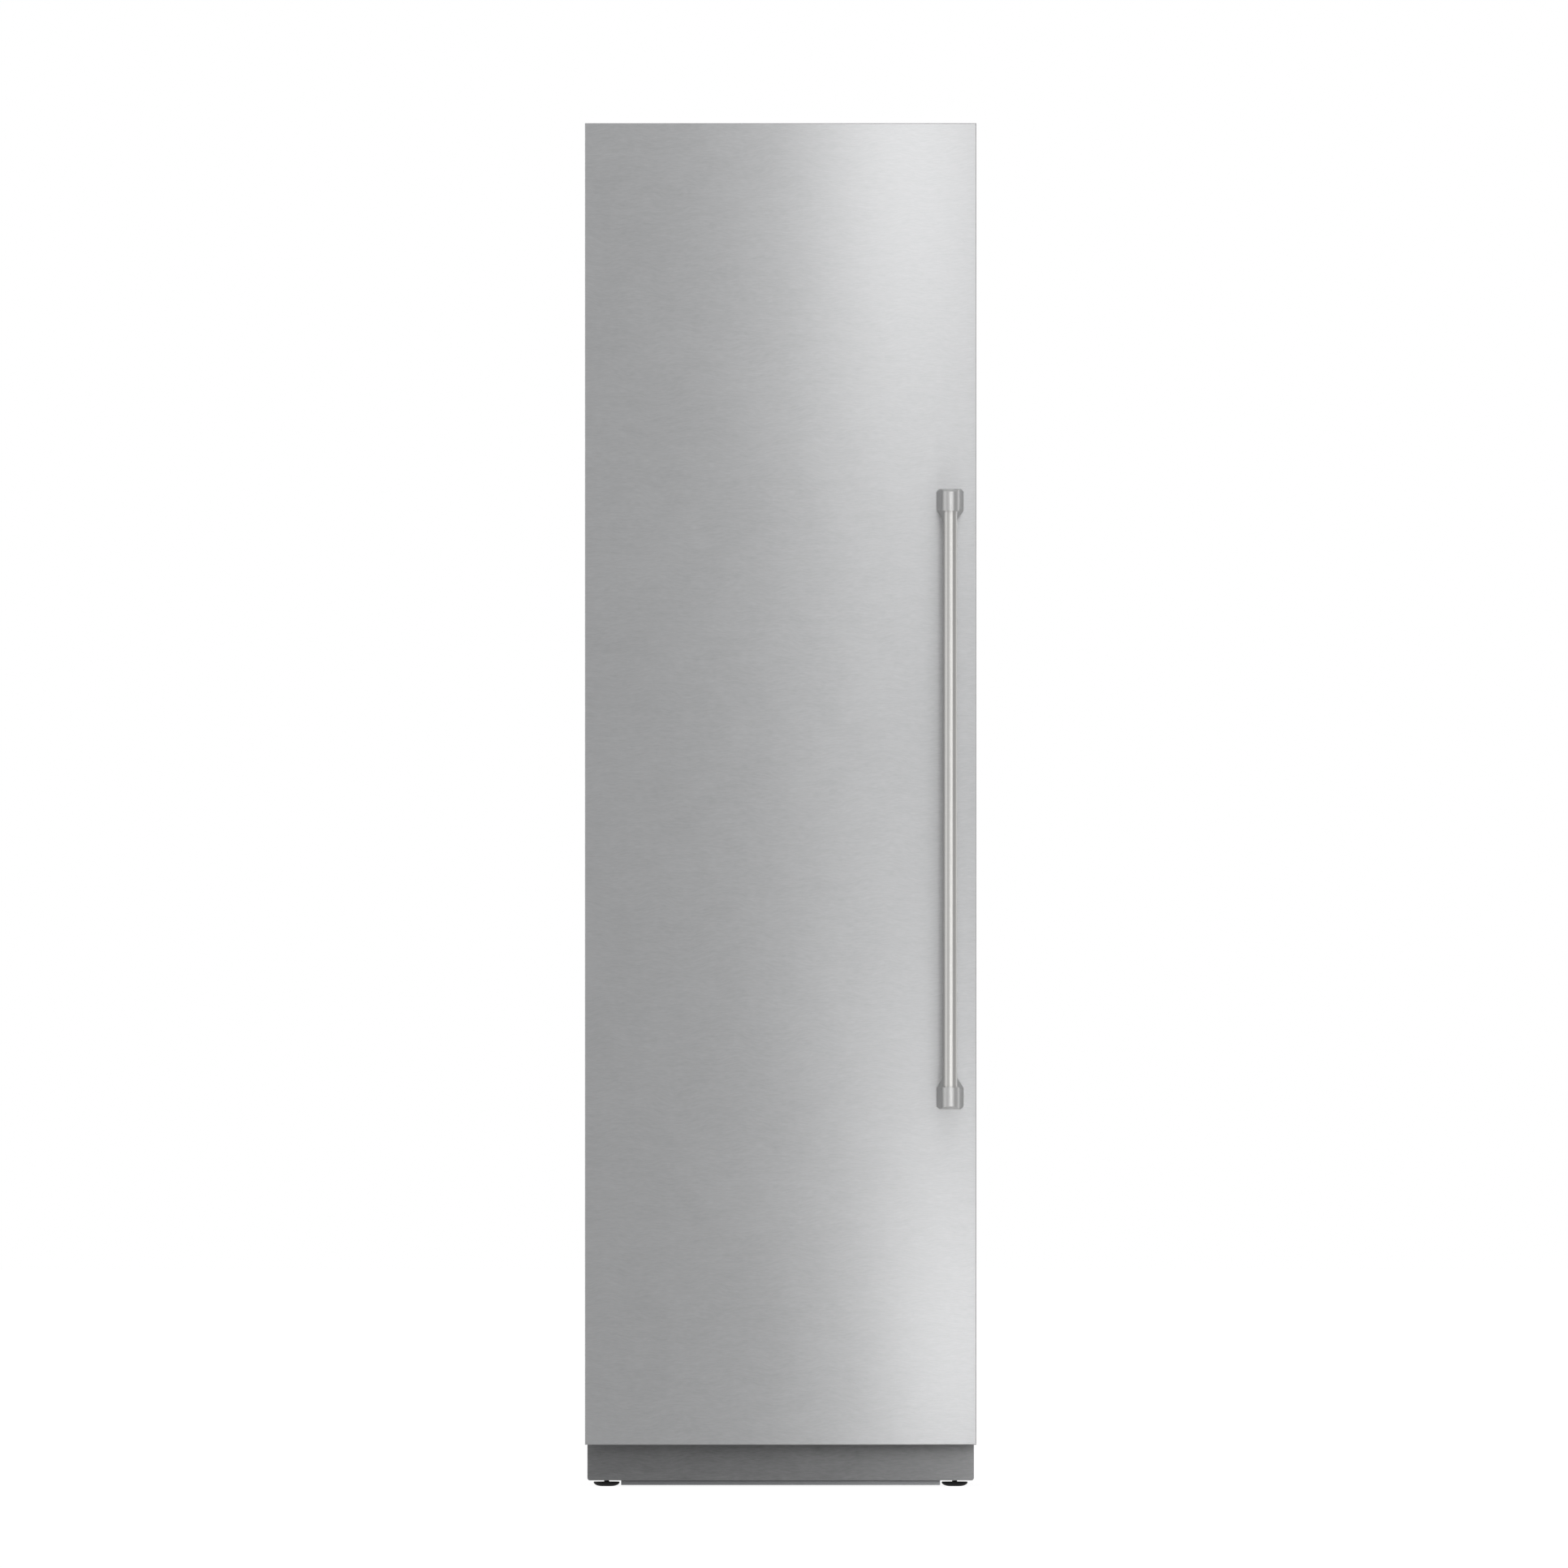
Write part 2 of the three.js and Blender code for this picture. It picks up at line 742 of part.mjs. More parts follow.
function toeKick() {
  const { sheet, lift, height, cornerRadius } = kick;
  const back = shellFront - gap;
  const front = back - sheet - kick.return;
  const face = new THREE.Shape();
  const low = lift + cornerRadius;
  face.moveTo(-halfCabinet, lift + height);
  face.lineTo(-halfCabinet, low);
  face.absarc(cornerRadius - halfCabinet, low, cornerRadius, Math.PI, 1.5 * Math.PI, false);
  face.lineTo(halfCabinet - cornerRadius, lift);
  face.absarc(halfCabinet - cornerRadius, low, cornerRadius, 1.5 * Math.PI, 2 * Math.PI, false);
  face.lineTo(halfCabinet, lift + height);
  face.closePath();
  const hollow = block(
    across(halfCabinet - sheet),
    [front + sheet, back + overrun],
    [lift - overrun, lift + height - sheet],
  );
  return cut(prism("y", face, [front, back]), hollow);
}

const footX = halfDoor - foot.inset;
const footY = shellFront + foot.setback;
const rollerX = halfCabinet - roller.inset;
const rollerY = cabinetBack - roller.setback;

function baseTray() {
  const floor = block(across(halfInside), [shellFront, shellBack], [trayFloor, trayTop]);
  const skirtHalf = footX - foot.padRadius - tray.skirtGap;
  const skirt = block(across(skirtHalf), span(shellFront, tray.sheet), [tray.skirtLift, trayTop]);
  const studHole = foot.studRadius + tray.sheet;
  const holes = across(footX).map((x) =>
    rod(studHole, [x, footY, trayFloor - overrun], [x, footY, trayTop + overrun], smallSides),
  );
  const cheekY = across(roller.cheekHalfDepth).map((y) => y + rollerY);
  const inner = roller.width / 2 + roller.sideGap;
  const outer = inner + roller.cheek;
  const hangers = across(rollerX).flatMap((x) => [
    block([x - outer, x - inner], cheekY, [roller.cheekDrop, trayTop]),
    block([x + inner, x + outer], cheekY, [roller.cheekDrop, trayTop]),
    rod(
      roller.axleRadius,
      [x - outer, rollerY, roller.radius],
      [x + outer, rollerY, roller.radius],
      smallSides,
    ),
  ]);
  return join(cut(join(floor, skirt), ...holes), ...hangers);
}

// A front beam that carries the lower hinge and the feet, with a rail back along each side.
function baseFrame() {
  const sheet = chassis.sheet;
  const beamBack = plateBack + gap + sheet;
  const beam = cut(
    block(across(halfInside), [shellFront, beamBack], [chassisFloor, beamTop]),
    block(
      across(halfInside + overrun),
      [shellFront + sheet, beamBack + overrun],
      [chassisFloor + sheet, beamTop - sheet],
    ),
  );
  const railTop = boxBottom - gap;
  const rails = [-1, 1].map((side) => {
    const web = [
      [side * halfInside, chassisFloor],
      [side * halfInside, railTop],
      [side * (halfInside - chassis.railWidth), railTop],
      [side * (halfInside - chassis.railWidth), railTop - sheet],
      [side * (halfInside - sheet), railTop - sheet],
      [side * (halfInside - sheet), chassisFloor + sheet],
      [side * (halfInside - chassis.railWidth), chassisFloor + sheet],
      [side * (halfInside - chassis.railWidth), chassisFloor],
    ];
    return prism("y", corners(web), [plateBack + gap, machineFront]);
  });
  const bushes = across(footX).map((x) => {
    const low = [x, footY, chassisFloor];
    const high = [x, footY, chassisFloor + chassis.bushHeight];
    return cut(
      rod(chassis.bushRadius, low, high, smallSides),
      rod(foot.studRadius + gap, [x, footY, 0], [x, footY, boxBottom], smallSides),
    );
  });
  const studHoles = across(footX).map((x) =>
    rod(foot.studRadius + gap, [x, footY, 0], [x, footY, chassisFloor + 2 * sheet], smallSides),
  );
  return join(cut(join(beam, ...rails), ...studHoles), ...bushes);
}

function footPad() {
  const { padRadius, padHeight, contactRadius, rimHeight, socketFloor } = foot;
  const rise = padHeight - rimHeight;
  const dome = Array.from({ length: foot.steps + 1 }, (_, i) => {
    const angle = (Math.PI / 2) * (i / foot.steps);
    return [contactRadius + (padRadius - contactRadius) * Math.sin(angle), rise * (1 - Math.cos(angle))];
  });
  const socket = foot.studRadius + gap;
  return turned([
    [0, 0],
    ...dome,
    [padRadius, padHeight],
    [socket, padHeight],
    [socket, socketFloor],
    [0, socketFloor],
  ]);
}

function footStud() {
  const low = foot.socketFloor + gap;
  return rod(foot.studRadius, [0, 0, low], [0, 0, low + foot.studLength], smallSides);
}

function rollerWheel() {
  const half = roller.width / 2;
  const bore = roller.axleRadius + gap;
  return turned([
    [bore, -half],
    [roller.radius - roller.rimFillet, -half],
    [roller.radius, roller.rimFillet - half],
    [roller.radius, half - roller.rimFillet],
    [roller.radius - roller.rimFillet, half],
    [bore, half],
    [bore, -half],
  ]);
}

function buildCabinet() {
  place(cabinetGroup, "left_side_panel", sidePanel(), greyPaint, [-halfCabinet, 0, 0]);
  place(cabinetGroup, "right_side_panel", sidePanel(), greyPaint, [halfCabinet - cabinet.sheet, 0, 0]);
  place(cabinetGroup, "top_panel", topPanel(), greyPaint);
  place(cabinetGroup, "back_panel", backPanel(), greyPaint);
  place(cabinetGroup, "machine_divider", machineDivider(), zincSteel);
  place(cabinetGroup, "cabinet_foam", cabinetFoam(), foamFill);
  place(cabinetGroup, "inner_liner", innerLiner(), whitePlastic);
  place(cabinetGroup, "front_frame", frontFrame(), whitePlastic);
  place(cabinetGroup, "top_hinge_bracket", hingeArm(), zincSteel, [0, 0, coreTop]);
  const lowArm = place(cabinetGroup, "bottom_hinge_bracket", hingeArm(), zincSteel, [0, 0, coreBottom]);
  lowArm.scale.z = -1;
  place(cabinetGroup, "toe_kick", toeKick(), kickSteel);
  place(cabinetGroup, "base_tray", baseTray(), zincSteel);
  place(cabinetGroup, "base_frame", baseFrame(), zincSteel);
  [
    ["left", -1],
    ["right", 1],
  ].forEach(([name, side]) => {
    place(cabinetGroup, `${name}_foot_pad`, footPad(), blackRubber, [side * footX, footY, 0]);
    place(cabinetGroup, `${name}_foot_stud`, footStud(), zincSteel, [side * footX, footY, 0]);
    const wheel = place(cabinetGroup, `${name}_roller_wheel`, rollerWheel(), darkPlastic, [
      side * rollerX,
      rollerY,
      roller.radius,
    ]);
    wheel.rotation.y = Math.PI / 2;
  });
}

// Inside the cavity

function glassShelf() {
  const half = cavityHalf - shelf.sideClear;
  return block(across(half), [shelfFront, shelfBack], [0, shelf.glass]);
}

const runnerLow = (height) => height - freezerBin.runnerDrop - freezerBin.runnerThick;

function freezerBinShell(depth, height) {
  const b = freezerBin;
  const outer = block(across(binHalf), [0, depth], [0, height]);
  const inside = block(across(binHalf - b.wall), [b.wall, depth - b.wall], [b.wall, height + overrun]);
  const gripTop = height - b.gripDrop;
  const gripZ = [gripTop - b.gripHeight, gripTop];
  const grip = block(across(b.gripHalfWidth), [-overrun, b.wall + overrun], gripZ);
  const runnerZ = span(runnerLow(height), b.runnerThick);
  const runners = [-1, 1].map((side) => {
    const x = [side * (binHalf - b.wall / 2), side * (binHalf + b.runnerReach)];
    return block(x.sort((p, q) => p - q), [b.runnerFront, depth], runnerZ);
  });
  return join(cut(outer, inside, grip), ...runners);
}

// The moulded side frame that the bins run in, drawn for the right and mirrored for the left. It
// is grooved for each bin's runners and hollow towards the cavity wall.
function binSideFrame() {
  const front = binFront + cheek.setback;
  const low = cavityFloor + gap;
  const top = binTop + cheek.topClear;
  const outline = (inset) =>
    corners([
      [front + inset, low + inset],
      [stepFront - gap - inset, low + inset],
      [stepFront - gap - inset, stepTop + gap + inset],
      [coverFront - gap - inset, stepTop + gap + inset],
      [coverFront - gap - inset, top - inset],
      [front + inset, top - inset],
    ]);
  const outerX = cavityHalf - gap;
  const grooveX = cheekInner + freezerBin.runnerReach - freezerBin.sideClear + cheek.grooveEnd;
  const body = prism("x", outline(0), [cheekInner, outerX]);
  const pocket = prism("x", outline(cheek.wall), [grooveX + cheek.web, outerX + overrun]);
  const grooves = binLevels.map((level, i) => {
    const z = level + runnerLow(binHeights[i]);
    const tall = [z - cheek.grooveClear, z + freezerBin.runnerThick + cheek.grooveClear];
    return block([cheekInner - overrun, grooveX], [front - overrun, cavityBack], tall);
  });
  return cut(body, pocket, ...grooves);
}

function evaporatorCover() {
  const e = evaporator;
  const coverZ = [stepTop + gap, cavityCeiling - gap];
  const plate = block(across(cavityHalf - gap), [coverFront, coverBack], coverZ);
  const through = [coverFront - overrun, coverBack + overrun];
  const fanHole = rod(coldFan.openingRadius, [0, through[0], coldFanZ], [0, through[1], coldFanZ]);
  const vents = shelfLevels.slice(1).flatMap((level) =>
    Array.from({ length: e.ventRows }, (_, row) => {
      const z = level + e.ventLift + row * e.ventPitch;
      return block(across(e.ventHalfWidth), through, span(z, e.ventHeight));
    }),
  );
  return cut(plate, fanHole, ...vents);
}

// Fins on cross tubes, as a block along x.
function finBlock(width, [y0, y1], [z0, z1], { fins, finSheet, tubeRadius, tubeRows }) {
  const pitch = (width - finSheet) / (fins - 1);
  const plates = Array.from({ length: fins }, (_, i) => {
    const x = -width / 2 + i * pitch;
    return block(span(x, finSheet), [y0, y1], [z0, z1]);
  });
  const tubes = Array.from({ length: tubeRows }, (_, i) => {
    const z = z0 + ((z1 - z0) * (i + 1 / 2)) / tubeRows;
    const y = (y0 + y1) / 2;
    return rod(tubeRadius, [-width / 2, y, z], [width / 2, y, z], pipeSides);
  });
  return join(...plates, ...tubes);
}

const coilBottom = stepTop + evaporator.lift;
const coldFanZ = coilBottom + evaporator.height + coldFan.lift;

function evaporatorCoil() {
  const e = evaporator;
  const y = [coverBack + e.frontClear, cavityBack - gap];
  return finBlock(2 * e.halfWidth, y, [coilBottom, coilBottom + e.height], e);
}

// A fan about the z axis: a hub with a blind bore in its upper face, and pitched blades.
function fan(radius, { hubRadius, depth, blades, bladeSheet, bladeAngle, shaftRadius }) {
  const hub = rod(hubRadius, [0, 0, 0], [0, 0, depth]);
  const bladeLength = radius - hubRadius / 2;
  const chord = depth - bladeSheet;
  const wings = Array.from({ length: blades }, (_, i) => {
    const blade = new THREE.BoxGeometry(bladeLength, bladeSheet, chord);
    blade.rotateX(((90 - bladeAngle) * Math.PI) / 180);
    blade.translate(hubRadius / 2 + bladeLength / 2, 0, depth / 2);
    return solidOf(blade.rotateZ((2 * Math.PI * i) / blades));
  });
  const bore = rod(shaftRadius + gap, [0, 0, depth / 4], [0, 0, depth + overrun], smallSides);
  return cut(join(hub, ...wings), bore);
}

const coldFanFront = coverBack + coldFan.coverGap;

function coldFanMotor() {
  const back = cavityBack - gap;
  const front = back - coldFan.motorDepth;
  const tip = coldFanFront + coldFan.depth / 2;
  const body = rod(coldFan.motorRadius, [0, front, coldFanZ], [0, back, coldFanZ]);
  const shaft = rod(coldFan.shaftRadius, [0, tip, coldFanZ], [0, back, coldFanZ], smallSides);
  return join(body, shaft);
}

const iceRight = cavityHalf - gap;

// The ice maker hangs from the ceiling and carries an open mould with low walls between its cells.
function iceMakerBody() {
  const m = iceMaker;
  const left = iceRight - m.width;
  const back = coverFront - gap;
  const top = cavityCeiling - m.drop;
  const body = block([left, iceRight], [back - m.depth, back], [top - m.height, top]);
  const hanger = block([left, iceRight], [back - m.hangerDepth, back], [top - m.rim, cavityCeiling - gap]);
  const mouldX = [left + m.rackWidth, iceRight - m.rim];
  const mouldY = [back - m.depth + m.rim, back - m.hangerDepth - m.rim];
  const floor = top - m.mouldDepth;
  const mould = block(mouldX, mouldY, [floor, top + overrun]);
  const cellPitch = (mouldX[1] - mouldX[0] + m.dividerWall) / m.cells;
  const dividers = Array.from({ length: m.cells - 1 }, (_, i) => {
    const x = mouldX[0] + (i + 1) * cellPitch - m.dividerWall;
    const y = [mouldY[0] - m.rim / 2, mouldY[1] + m.rim / 2];
    return block(span(x, m.dividerWall), y, [floor - m.rim / 2, floor + m.dividerHeight]);
  });
  return join(cut(body, mould), hanger, ...dividers);
}

const iceBinFloor = highShelf + shelf.glass + gap;
const iceBinTop = cavityCeiling - iceMaker.drop - iceMaker.height - iceBin.clear;

function iceBinShell() {
  const b = iceBin;
  const height = iceBinTop - iceBinFloor;
  const depth = shelfBack - freezerBin.backClear - shelfFront - b.frontClear;
  const outer = block([0, b.width], [0, depth], [0, height]);
  const inside = block([b.wall, b.width - b.wall], [b.wall, depth - b.wall], [b.wall, height + overrun]);
  const gripX = across(b.gripHalfWidth).map((x) => x + b.width / 2);
  const gripTop = height - b.gripDrop;
  const grip = block(gripX, [-overrun, b.wall + overrun], [gripTop - b.gripHeight, gripTop]);
  return cut(outer, inside, grip);
}

function ceilingControl() {
  const c = controlPanel;
  const front = ribBack + c.setback;
  const top = cavityCeiling - gap;
  const outline = corners([
    [front + c.nose, top - c.height],
    [front + c.depth, top - c.height],
    [front + c.depth, top],
    [front, top],
    [front, top - c.height / 2],
  ]);
  return prism("x", outline, across(c.halfWidth));
}

function ceilingLight() {
  const front = ribBack + controlPanel.setback + controlPanel.depth + light.panelGap;
  const top = cavityCeiling - gap;
  const outline = corners([
    [front + light.bevel, top - light.height],
    [front + light.depth - light.bevel, top - light.height],
    [front + light.depth, top],
    [front, top],
  ]);
  return prism("x", outline, across(light.halfWidth));
}

function buildInterior() {
  const shelves = shelfLevels.map((level) => [0, 0, level]);
  shelves.forEach((position, i) => {
    place(cabinetGroup, `glass_shelf_${i + 1}`, glassShelf(), shelfGlass, position);
  });
  binLevels.forEach((level, i) => {
    const shell = freezerBinShell(binDepths[i], binHeights[i]);
    place(cabinetGroup, `freezer_bin_${i + 1}`, shell, clearPlastic, [0, binFront, level]);
  });
  place(cabinetGroup, "right_bin_frame", binSideFrame(), whitePlastic);
  place(cabinetGroup, "left_bin_frame", binSideFrame(), whitePlastic).scale.x = -1;
  place(cabinetGroup, "evaporator_cover", evaporatorCover(), whitePlastic);
  place(cabinetGroup, "evaporator_coil", evaporatorCoil(), aluminium);
  place(cabinetGroup, "evaporator_fan_motor", coldFanMotor(), darkPlastic);
  const wheel = fan(coldFan.openingRadius - coldFan.tipGap, coldFan);
  const coldWheel = place(cabinetGroup, "evaporator_fan", wheel, darkPlastic, [
    0,
    coldFanFront,
    coldFanZ,
  ]);
  coldWheel.rotation.x = -Math.PI / 2;
  place(cabinetGroup, "ice_maker", iceMakerBody(), whitePlastic);
  const iceBinLeft = iceRight - shelf.sideClear - iceBin.width;
  const iceBinPlace = [iceBinLeft, shelfFront + iceBin.frontClear, iceBinFloor];
  place(cabinetGroup, "ice_bin", iceBinShell(), clearPlastic, iceBinPlace);
  place(cabinetGroup, "control_panel", ceilingControl(), darkPlastic);
  place(cabinetGroup, "ceiling_light", ceilingLight(), clearPlastic);
}

// The machine space

const compressorX = halfInside - compressor.inset;
const condenserLeft = condenser.inset - halfInside;
const condenserRight = condenserLeft + condenser.width;
const condenserTop = chassisFloor + condenser.height;
const shroudX = condenserRight + warmFan.condenserGap;
const shroudY = [machineFront + warmFan.edgeClear, shellBack - warmFan.edgeClear];
const shroudZ = [chassisFloor, machineTop - warmFan.topClear];
const warmFanZ = (shroudZ[0] + shroudZ[1]) / 2;
const shroudHole = Math.min(shroudY[1] - shroudY[0], shroudZ[1] - shroudZ[0]) / 2 - warmFan.rim;

function compressorPot() {
  const c = compressor;
  const plateZ = chassisFloor + c.mountHeight;
  const shell = turned([
    [0, plateZ + c.plate / 2],
    ...compressorShares.map(([r, h]) => [r * c.radius, plateZ + c.plate + h * c.height]),
  ]);
  const halfX = c.radius + c.plateMargin;
  const halfY = c.radius;
  const plate = block(across(halfX), across(halfY), span(plateZ, c.plate));
  const mounts = across(halfX - c.mountRadius).flatMap((x) =>
    across(halfY - c.mountRadius).map((y) =>
      rod(c.mountRadius, [x, y, chassisFloor], [x, y, plateZ + c.plate / 2], smallSides),
    ),
  );
  return join(shell, plate, ...mounts);
}

// The block of fins stands on its two end plates.
function condenserBlock() {
  const c = condenser;
  const y = [machineFront + c.wallClear, shellBack - c.wallClear];
  const fins = finBlock(c.width, y, [chassisFloor + c.finLift, condenserTop], c);
  const ends = [-c.width / 2, c.width / 2 - c.endSheet].map((x) =>
    block(span(x, c.endSheet), y, [chassisFloor, condenserTop]),
  );
  return join(fins, ...ends);
}

function warmFanShroud() {
  const w = warmFan;
  const plate = block(span(0, w.sheet), shroudY, shroudZ);
  const hole = rod(
    shroudHole,
    [-overrun, machineMiddle, warmFanZ],
    [w.sheet + overrun, machineMiddle, warmFanZ],
  );
  const barZ = across(w.barHalfHeight).map((z) => z + warmFanZ);
  const posts = [shroudY[0], shroudY[1] - w.barDepth].map((y) =>
    block([w.sheet / 2, w.barSetback + w.barDepth], span(y, w.barDepth), barZ),
  );
  const bar = block(span(w.barSetback, w.barDepth), shroudY, barZ);
  const motor = rod(
    w.motorRadius,
    [w.barSetback, machineMiddle, warmFanZ],
    [w.barSetback + w.motorDepth, machineMiddle, warmFanZ],
  );
  const shaft = rod(
    w.shaftRadius,
    [w.hubGap + w.depth / 2, machineMiddle, warmFanZ],
    [w.barSetback + w.barDepth, machineMiddle, warmFanZ],
    smallSides,
  );
  return join(cut(plate, hole), ...posts, bar, motor, shaft);
}

function drainPanShell() {
  const inset = condenser.endSheet + drainPan.inset;
  const x = [condenserLeft + inset, condenserRight - inset];
  const y = [machineFront + condenser.wallClear, shellBack - condenser.wallClear];
  const w = drainPan.wall;
  const outer = block(x, y, span(chassisFloor, drainPan.height));
  const inside = block(
    [x[0] + w, x[1] - w],
    [y[0] + w, y[1] - w],
    [chassisFloor + w, chassisFloor + drainPan.height + overrun],
  );
  return cut(outer, inside);
}

const pipeZ = chassisFloor + compressorLift + compressor.height / 2;

function dischargePipe() {
  const high = machineTop - cabinet.sheet - pipe.ceilingGap - pipe.dischargeRadius;
  const start = compressorX - compressor.radius - gap;
  const end = (condenserLeft + condenserRight) / 2;
  return bentPipe(
    [
      [start, machineMiddle, pipeZ],
      [start - pipe.standout, machineMiddle, pipeZ],
      [start - pipe.standout, machineMiddle, high],
      [end, machineMiddle, high],
      [end, machineMiddle, condenserTop + gap],
    ],
    pipe.dischargeRadius,
  );
}

function suctionPipe() {
  const start = compressorX + compressor.radius + gap;
  return bentPipe(
    [
      [start, machineMiddle, pipeZ],
      [start + pipe.standout, machineMiddle, pipeZ],
      [start + pipe.standout, machineMiddle, machineTop - cabinet.sheet - gap],
    ],
    pipe.suctionRadius,
  );
}

const inletX = halfInside - inlet.inset;
const inletZ = chassisFloor + inlet.lift;
const valveZ = chassisFloor + valve.lift;

function machineRearCover() {
  const r = rearCover;
  const through = [cabinetBack - cabinet.sheet - overrun, cabinetBack + overrun];
  const low = trayTop + gap;
  const plate = block(across(halfInside), [cabinetBack - cabinet.sheet, cabinetBack], [low, machineTop]);
  const slotEnds = [r.slotMargin - halfInside, -r.middleBar / 2];
  const rightEnd = inletX - inlet.halfWidth - r.slotMargin;
  const slots = Array.from({ length: r.slotRows }, (_, i) =>
    span(low + r.slotLift + i * r.slotPitch, r.slotHeight),
  );
  const slotCuts = slots.flatMap((z) => [
    block(slotEnds, through, z),
    block([r.middleBar / 2, rightEnd], through, z),
  ]);
  const inletHole = block(
    across(inlet.halfWidth + gap).map((x) => x + inletX),
    through,
    across(inlet.halfHeight + gap).map((z) => z + inletZ),
  );
  const valveHole = rod(
    valve.nippleRadius + gap,
    [inletX, through[0], valveZ],
    [inletX, through[1], valveZ],
  );
  return cut(plate, ...slotCuts, inletHole, valveHole);
}

function powerInlet() {
  const body = block(across(inlet.halfWidth), [-inlet.depth, 0], across(inlet.halfHeight));
  const recess = block(
    across(inlet.halfWidth - inlet.wall),
    [-inlet.recess, overrun],
    across(inlet.halfHeight - inlet.wall),
  );
  return cut(body, recess);
}

// The valve's threaded nipple passes through the rear cover.
function waterValve() {
  const v = valve;
  const front = -v.nippleLength - v.depth;
  const body = block(across(v.halfSize), [front, -v.nippleLength], across(v.halfSize));
  const nipple = rod(v.nippleRadius, [0, -v.nippleLength - v.boreRadius, 0], [0, 0, 0]);
  const bore = rod(v.boreRadius, [0, -v.nippleLength, 0], [0, overrun, 0], smallSides);
  return cut(join(body, nipple), bore);
}

function buildMachine() {
  place(machineGroup, "compressor", compressorPot(), blackPaint, [compressorX, machineMiddle, 0]);
  const condenserPlace = [(condenserLeft + condenserRight) / 2, 0, 0];
  place(machineGroup, "condenser_coil", condenserBlock(), blackPaint, condenserPlace);
  place(machineGroup, "condenser_fan_shroud", warmFanShroud(), darkPlastic, [shroudX, 0, 0]);
  const wheel = fan(shroudHole - warmFan.tipGap, warmFan);
  const wheelPlace = [shroudX + warmFan.hubGap, machineMiddle, warmFanZ];
  place(machineGroup, "condenser_fan", wheel, darkPlastic, wheelPlace).rotation.y = Math.PI / 2;
  place(machineGroup, "drain_pan", drainPanShell(), darkPlastic);
  place(machineGroup, "discharge_pipe", dischargePipe(), copper);
  place(machineGroup, "suction_pipe", suctionPipe(), copper);
  place(machineGroup, "machine_rear_cover", machineRearCover(), zincSteel);
  place(machineGroup, "power_inlet", powerInlet(), darkPlastic, [inletX, cabinetBack, inletZ]);
  place(machineGroup, "water_valve", waterValve(), darkPlastic, [inletX, cabinetBack, valveZ]);
}

buildDoor();
buildCabinet();
buildInterior();
buildMachine();

export default centred;
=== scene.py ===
import json
import math

import bmesh
import bpy
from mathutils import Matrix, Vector


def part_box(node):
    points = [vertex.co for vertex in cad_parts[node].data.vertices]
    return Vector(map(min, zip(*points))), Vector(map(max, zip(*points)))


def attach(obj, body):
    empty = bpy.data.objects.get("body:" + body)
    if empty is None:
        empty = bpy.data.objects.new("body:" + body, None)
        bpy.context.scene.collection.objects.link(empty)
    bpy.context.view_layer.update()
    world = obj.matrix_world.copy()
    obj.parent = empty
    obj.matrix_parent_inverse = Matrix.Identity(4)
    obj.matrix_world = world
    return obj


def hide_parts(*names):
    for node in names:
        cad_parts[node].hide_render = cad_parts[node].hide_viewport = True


# A built-in column freezer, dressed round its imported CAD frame. Lengths are in metres where nothing else is
# said. The frame comes first, and everything below takes its places from it.
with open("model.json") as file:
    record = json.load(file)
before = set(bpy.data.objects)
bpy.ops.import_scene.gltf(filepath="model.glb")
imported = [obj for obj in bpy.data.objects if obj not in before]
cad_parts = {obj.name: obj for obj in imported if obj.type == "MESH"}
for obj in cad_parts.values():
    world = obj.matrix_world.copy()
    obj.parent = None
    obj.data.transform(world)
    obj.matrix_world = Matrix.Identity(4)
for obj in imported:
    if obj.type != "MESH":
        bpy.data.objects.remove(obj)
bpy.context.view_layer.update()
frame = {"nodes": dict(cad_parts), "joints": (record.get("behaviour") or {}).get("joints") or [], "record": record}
nodes = frame["nodes"]
bodies = frame["record"]["behaviour"]["bodies"]
bodyOf = {node: body for body, members in bodies.items() for node in members}
print("frame loaded with", len(nodes), "nodes")

quarter = math.pi / 2
turns = {"Z": (0, 0, 0), "X": (0, quarter, 0), "Y": (-quarter, 0, 0)}  # these carry the z axis to another one
near = 0.00005  # what counts as the same place
weld = 0.000002  # points of a new mesh that are closer than this become one
nodeWeld = 0.00002  # the same for a CAD node's mesh
clear = 0.002  # how far a cutter reaches past what it cuts
white = (1, 1, 1, 1)


def link(tree, value, socket):
    # the value is a number, a colour, an output, or a node whose first output is meant
    if isinstance(value, bpy.types.Node):
        value = value.outputs[0]
    if isinstance(value, bpy.types.NodeSocket):
        tree.links.new(value, socket)
    else:
        socket.default_value = value


def addNode(tree, kind, *inOrder, **byName):
    # lower-case names are the node's settings, and the others are its sockets
    node = tree.nodes.new("ShaderNode" + kind)
    for key, value in byName.items():
        if key[0].islower():
            setattr(node, key, value)
    for socket, value in zip(node.inputs, inOrder):
        link(tree, value, socket)
    for key, value in byName.items():
        if key[0].isupper():
            link(tree, value, node.inputs[key])
    return node


def spread(tree, value, low, high, least=0.0, most=1.0, way="LINEAR"):
    # stretches low to high over least to most
    return addNode(tree, "MapRange", value, low, high, least, most, interpolation_type=way)


def larger(tree, first, second):
    return addNode(tree, "Math", first, second, operation="MAXIMUM")


def product(tree, first, second, kind="Math"):
    return addNode(tree, kind, first, second, operation="MULTIPLY")


def seenDirectly(tree):
    # 1 where the camera, a gloss ray or a ray through glass looks, and 0 for light on matt surfaces
    path = addNode(tree, "LightPath").outputs
    gloss = larger(tree, path["Is Glossy Ray"], path["Is Transmission Ray"])
    return larger(tree, path["Is Camera Ray"], gloss)


camera = {
    "x": 0.0052,
    "z": 1.083,
    "distance": 90.0,
    "frameSide": 2.4156,  # what the square frame covers at the door's face
    "sensor": 36.0,
    "sight": 1000,  # nothing farther off is drawn
}


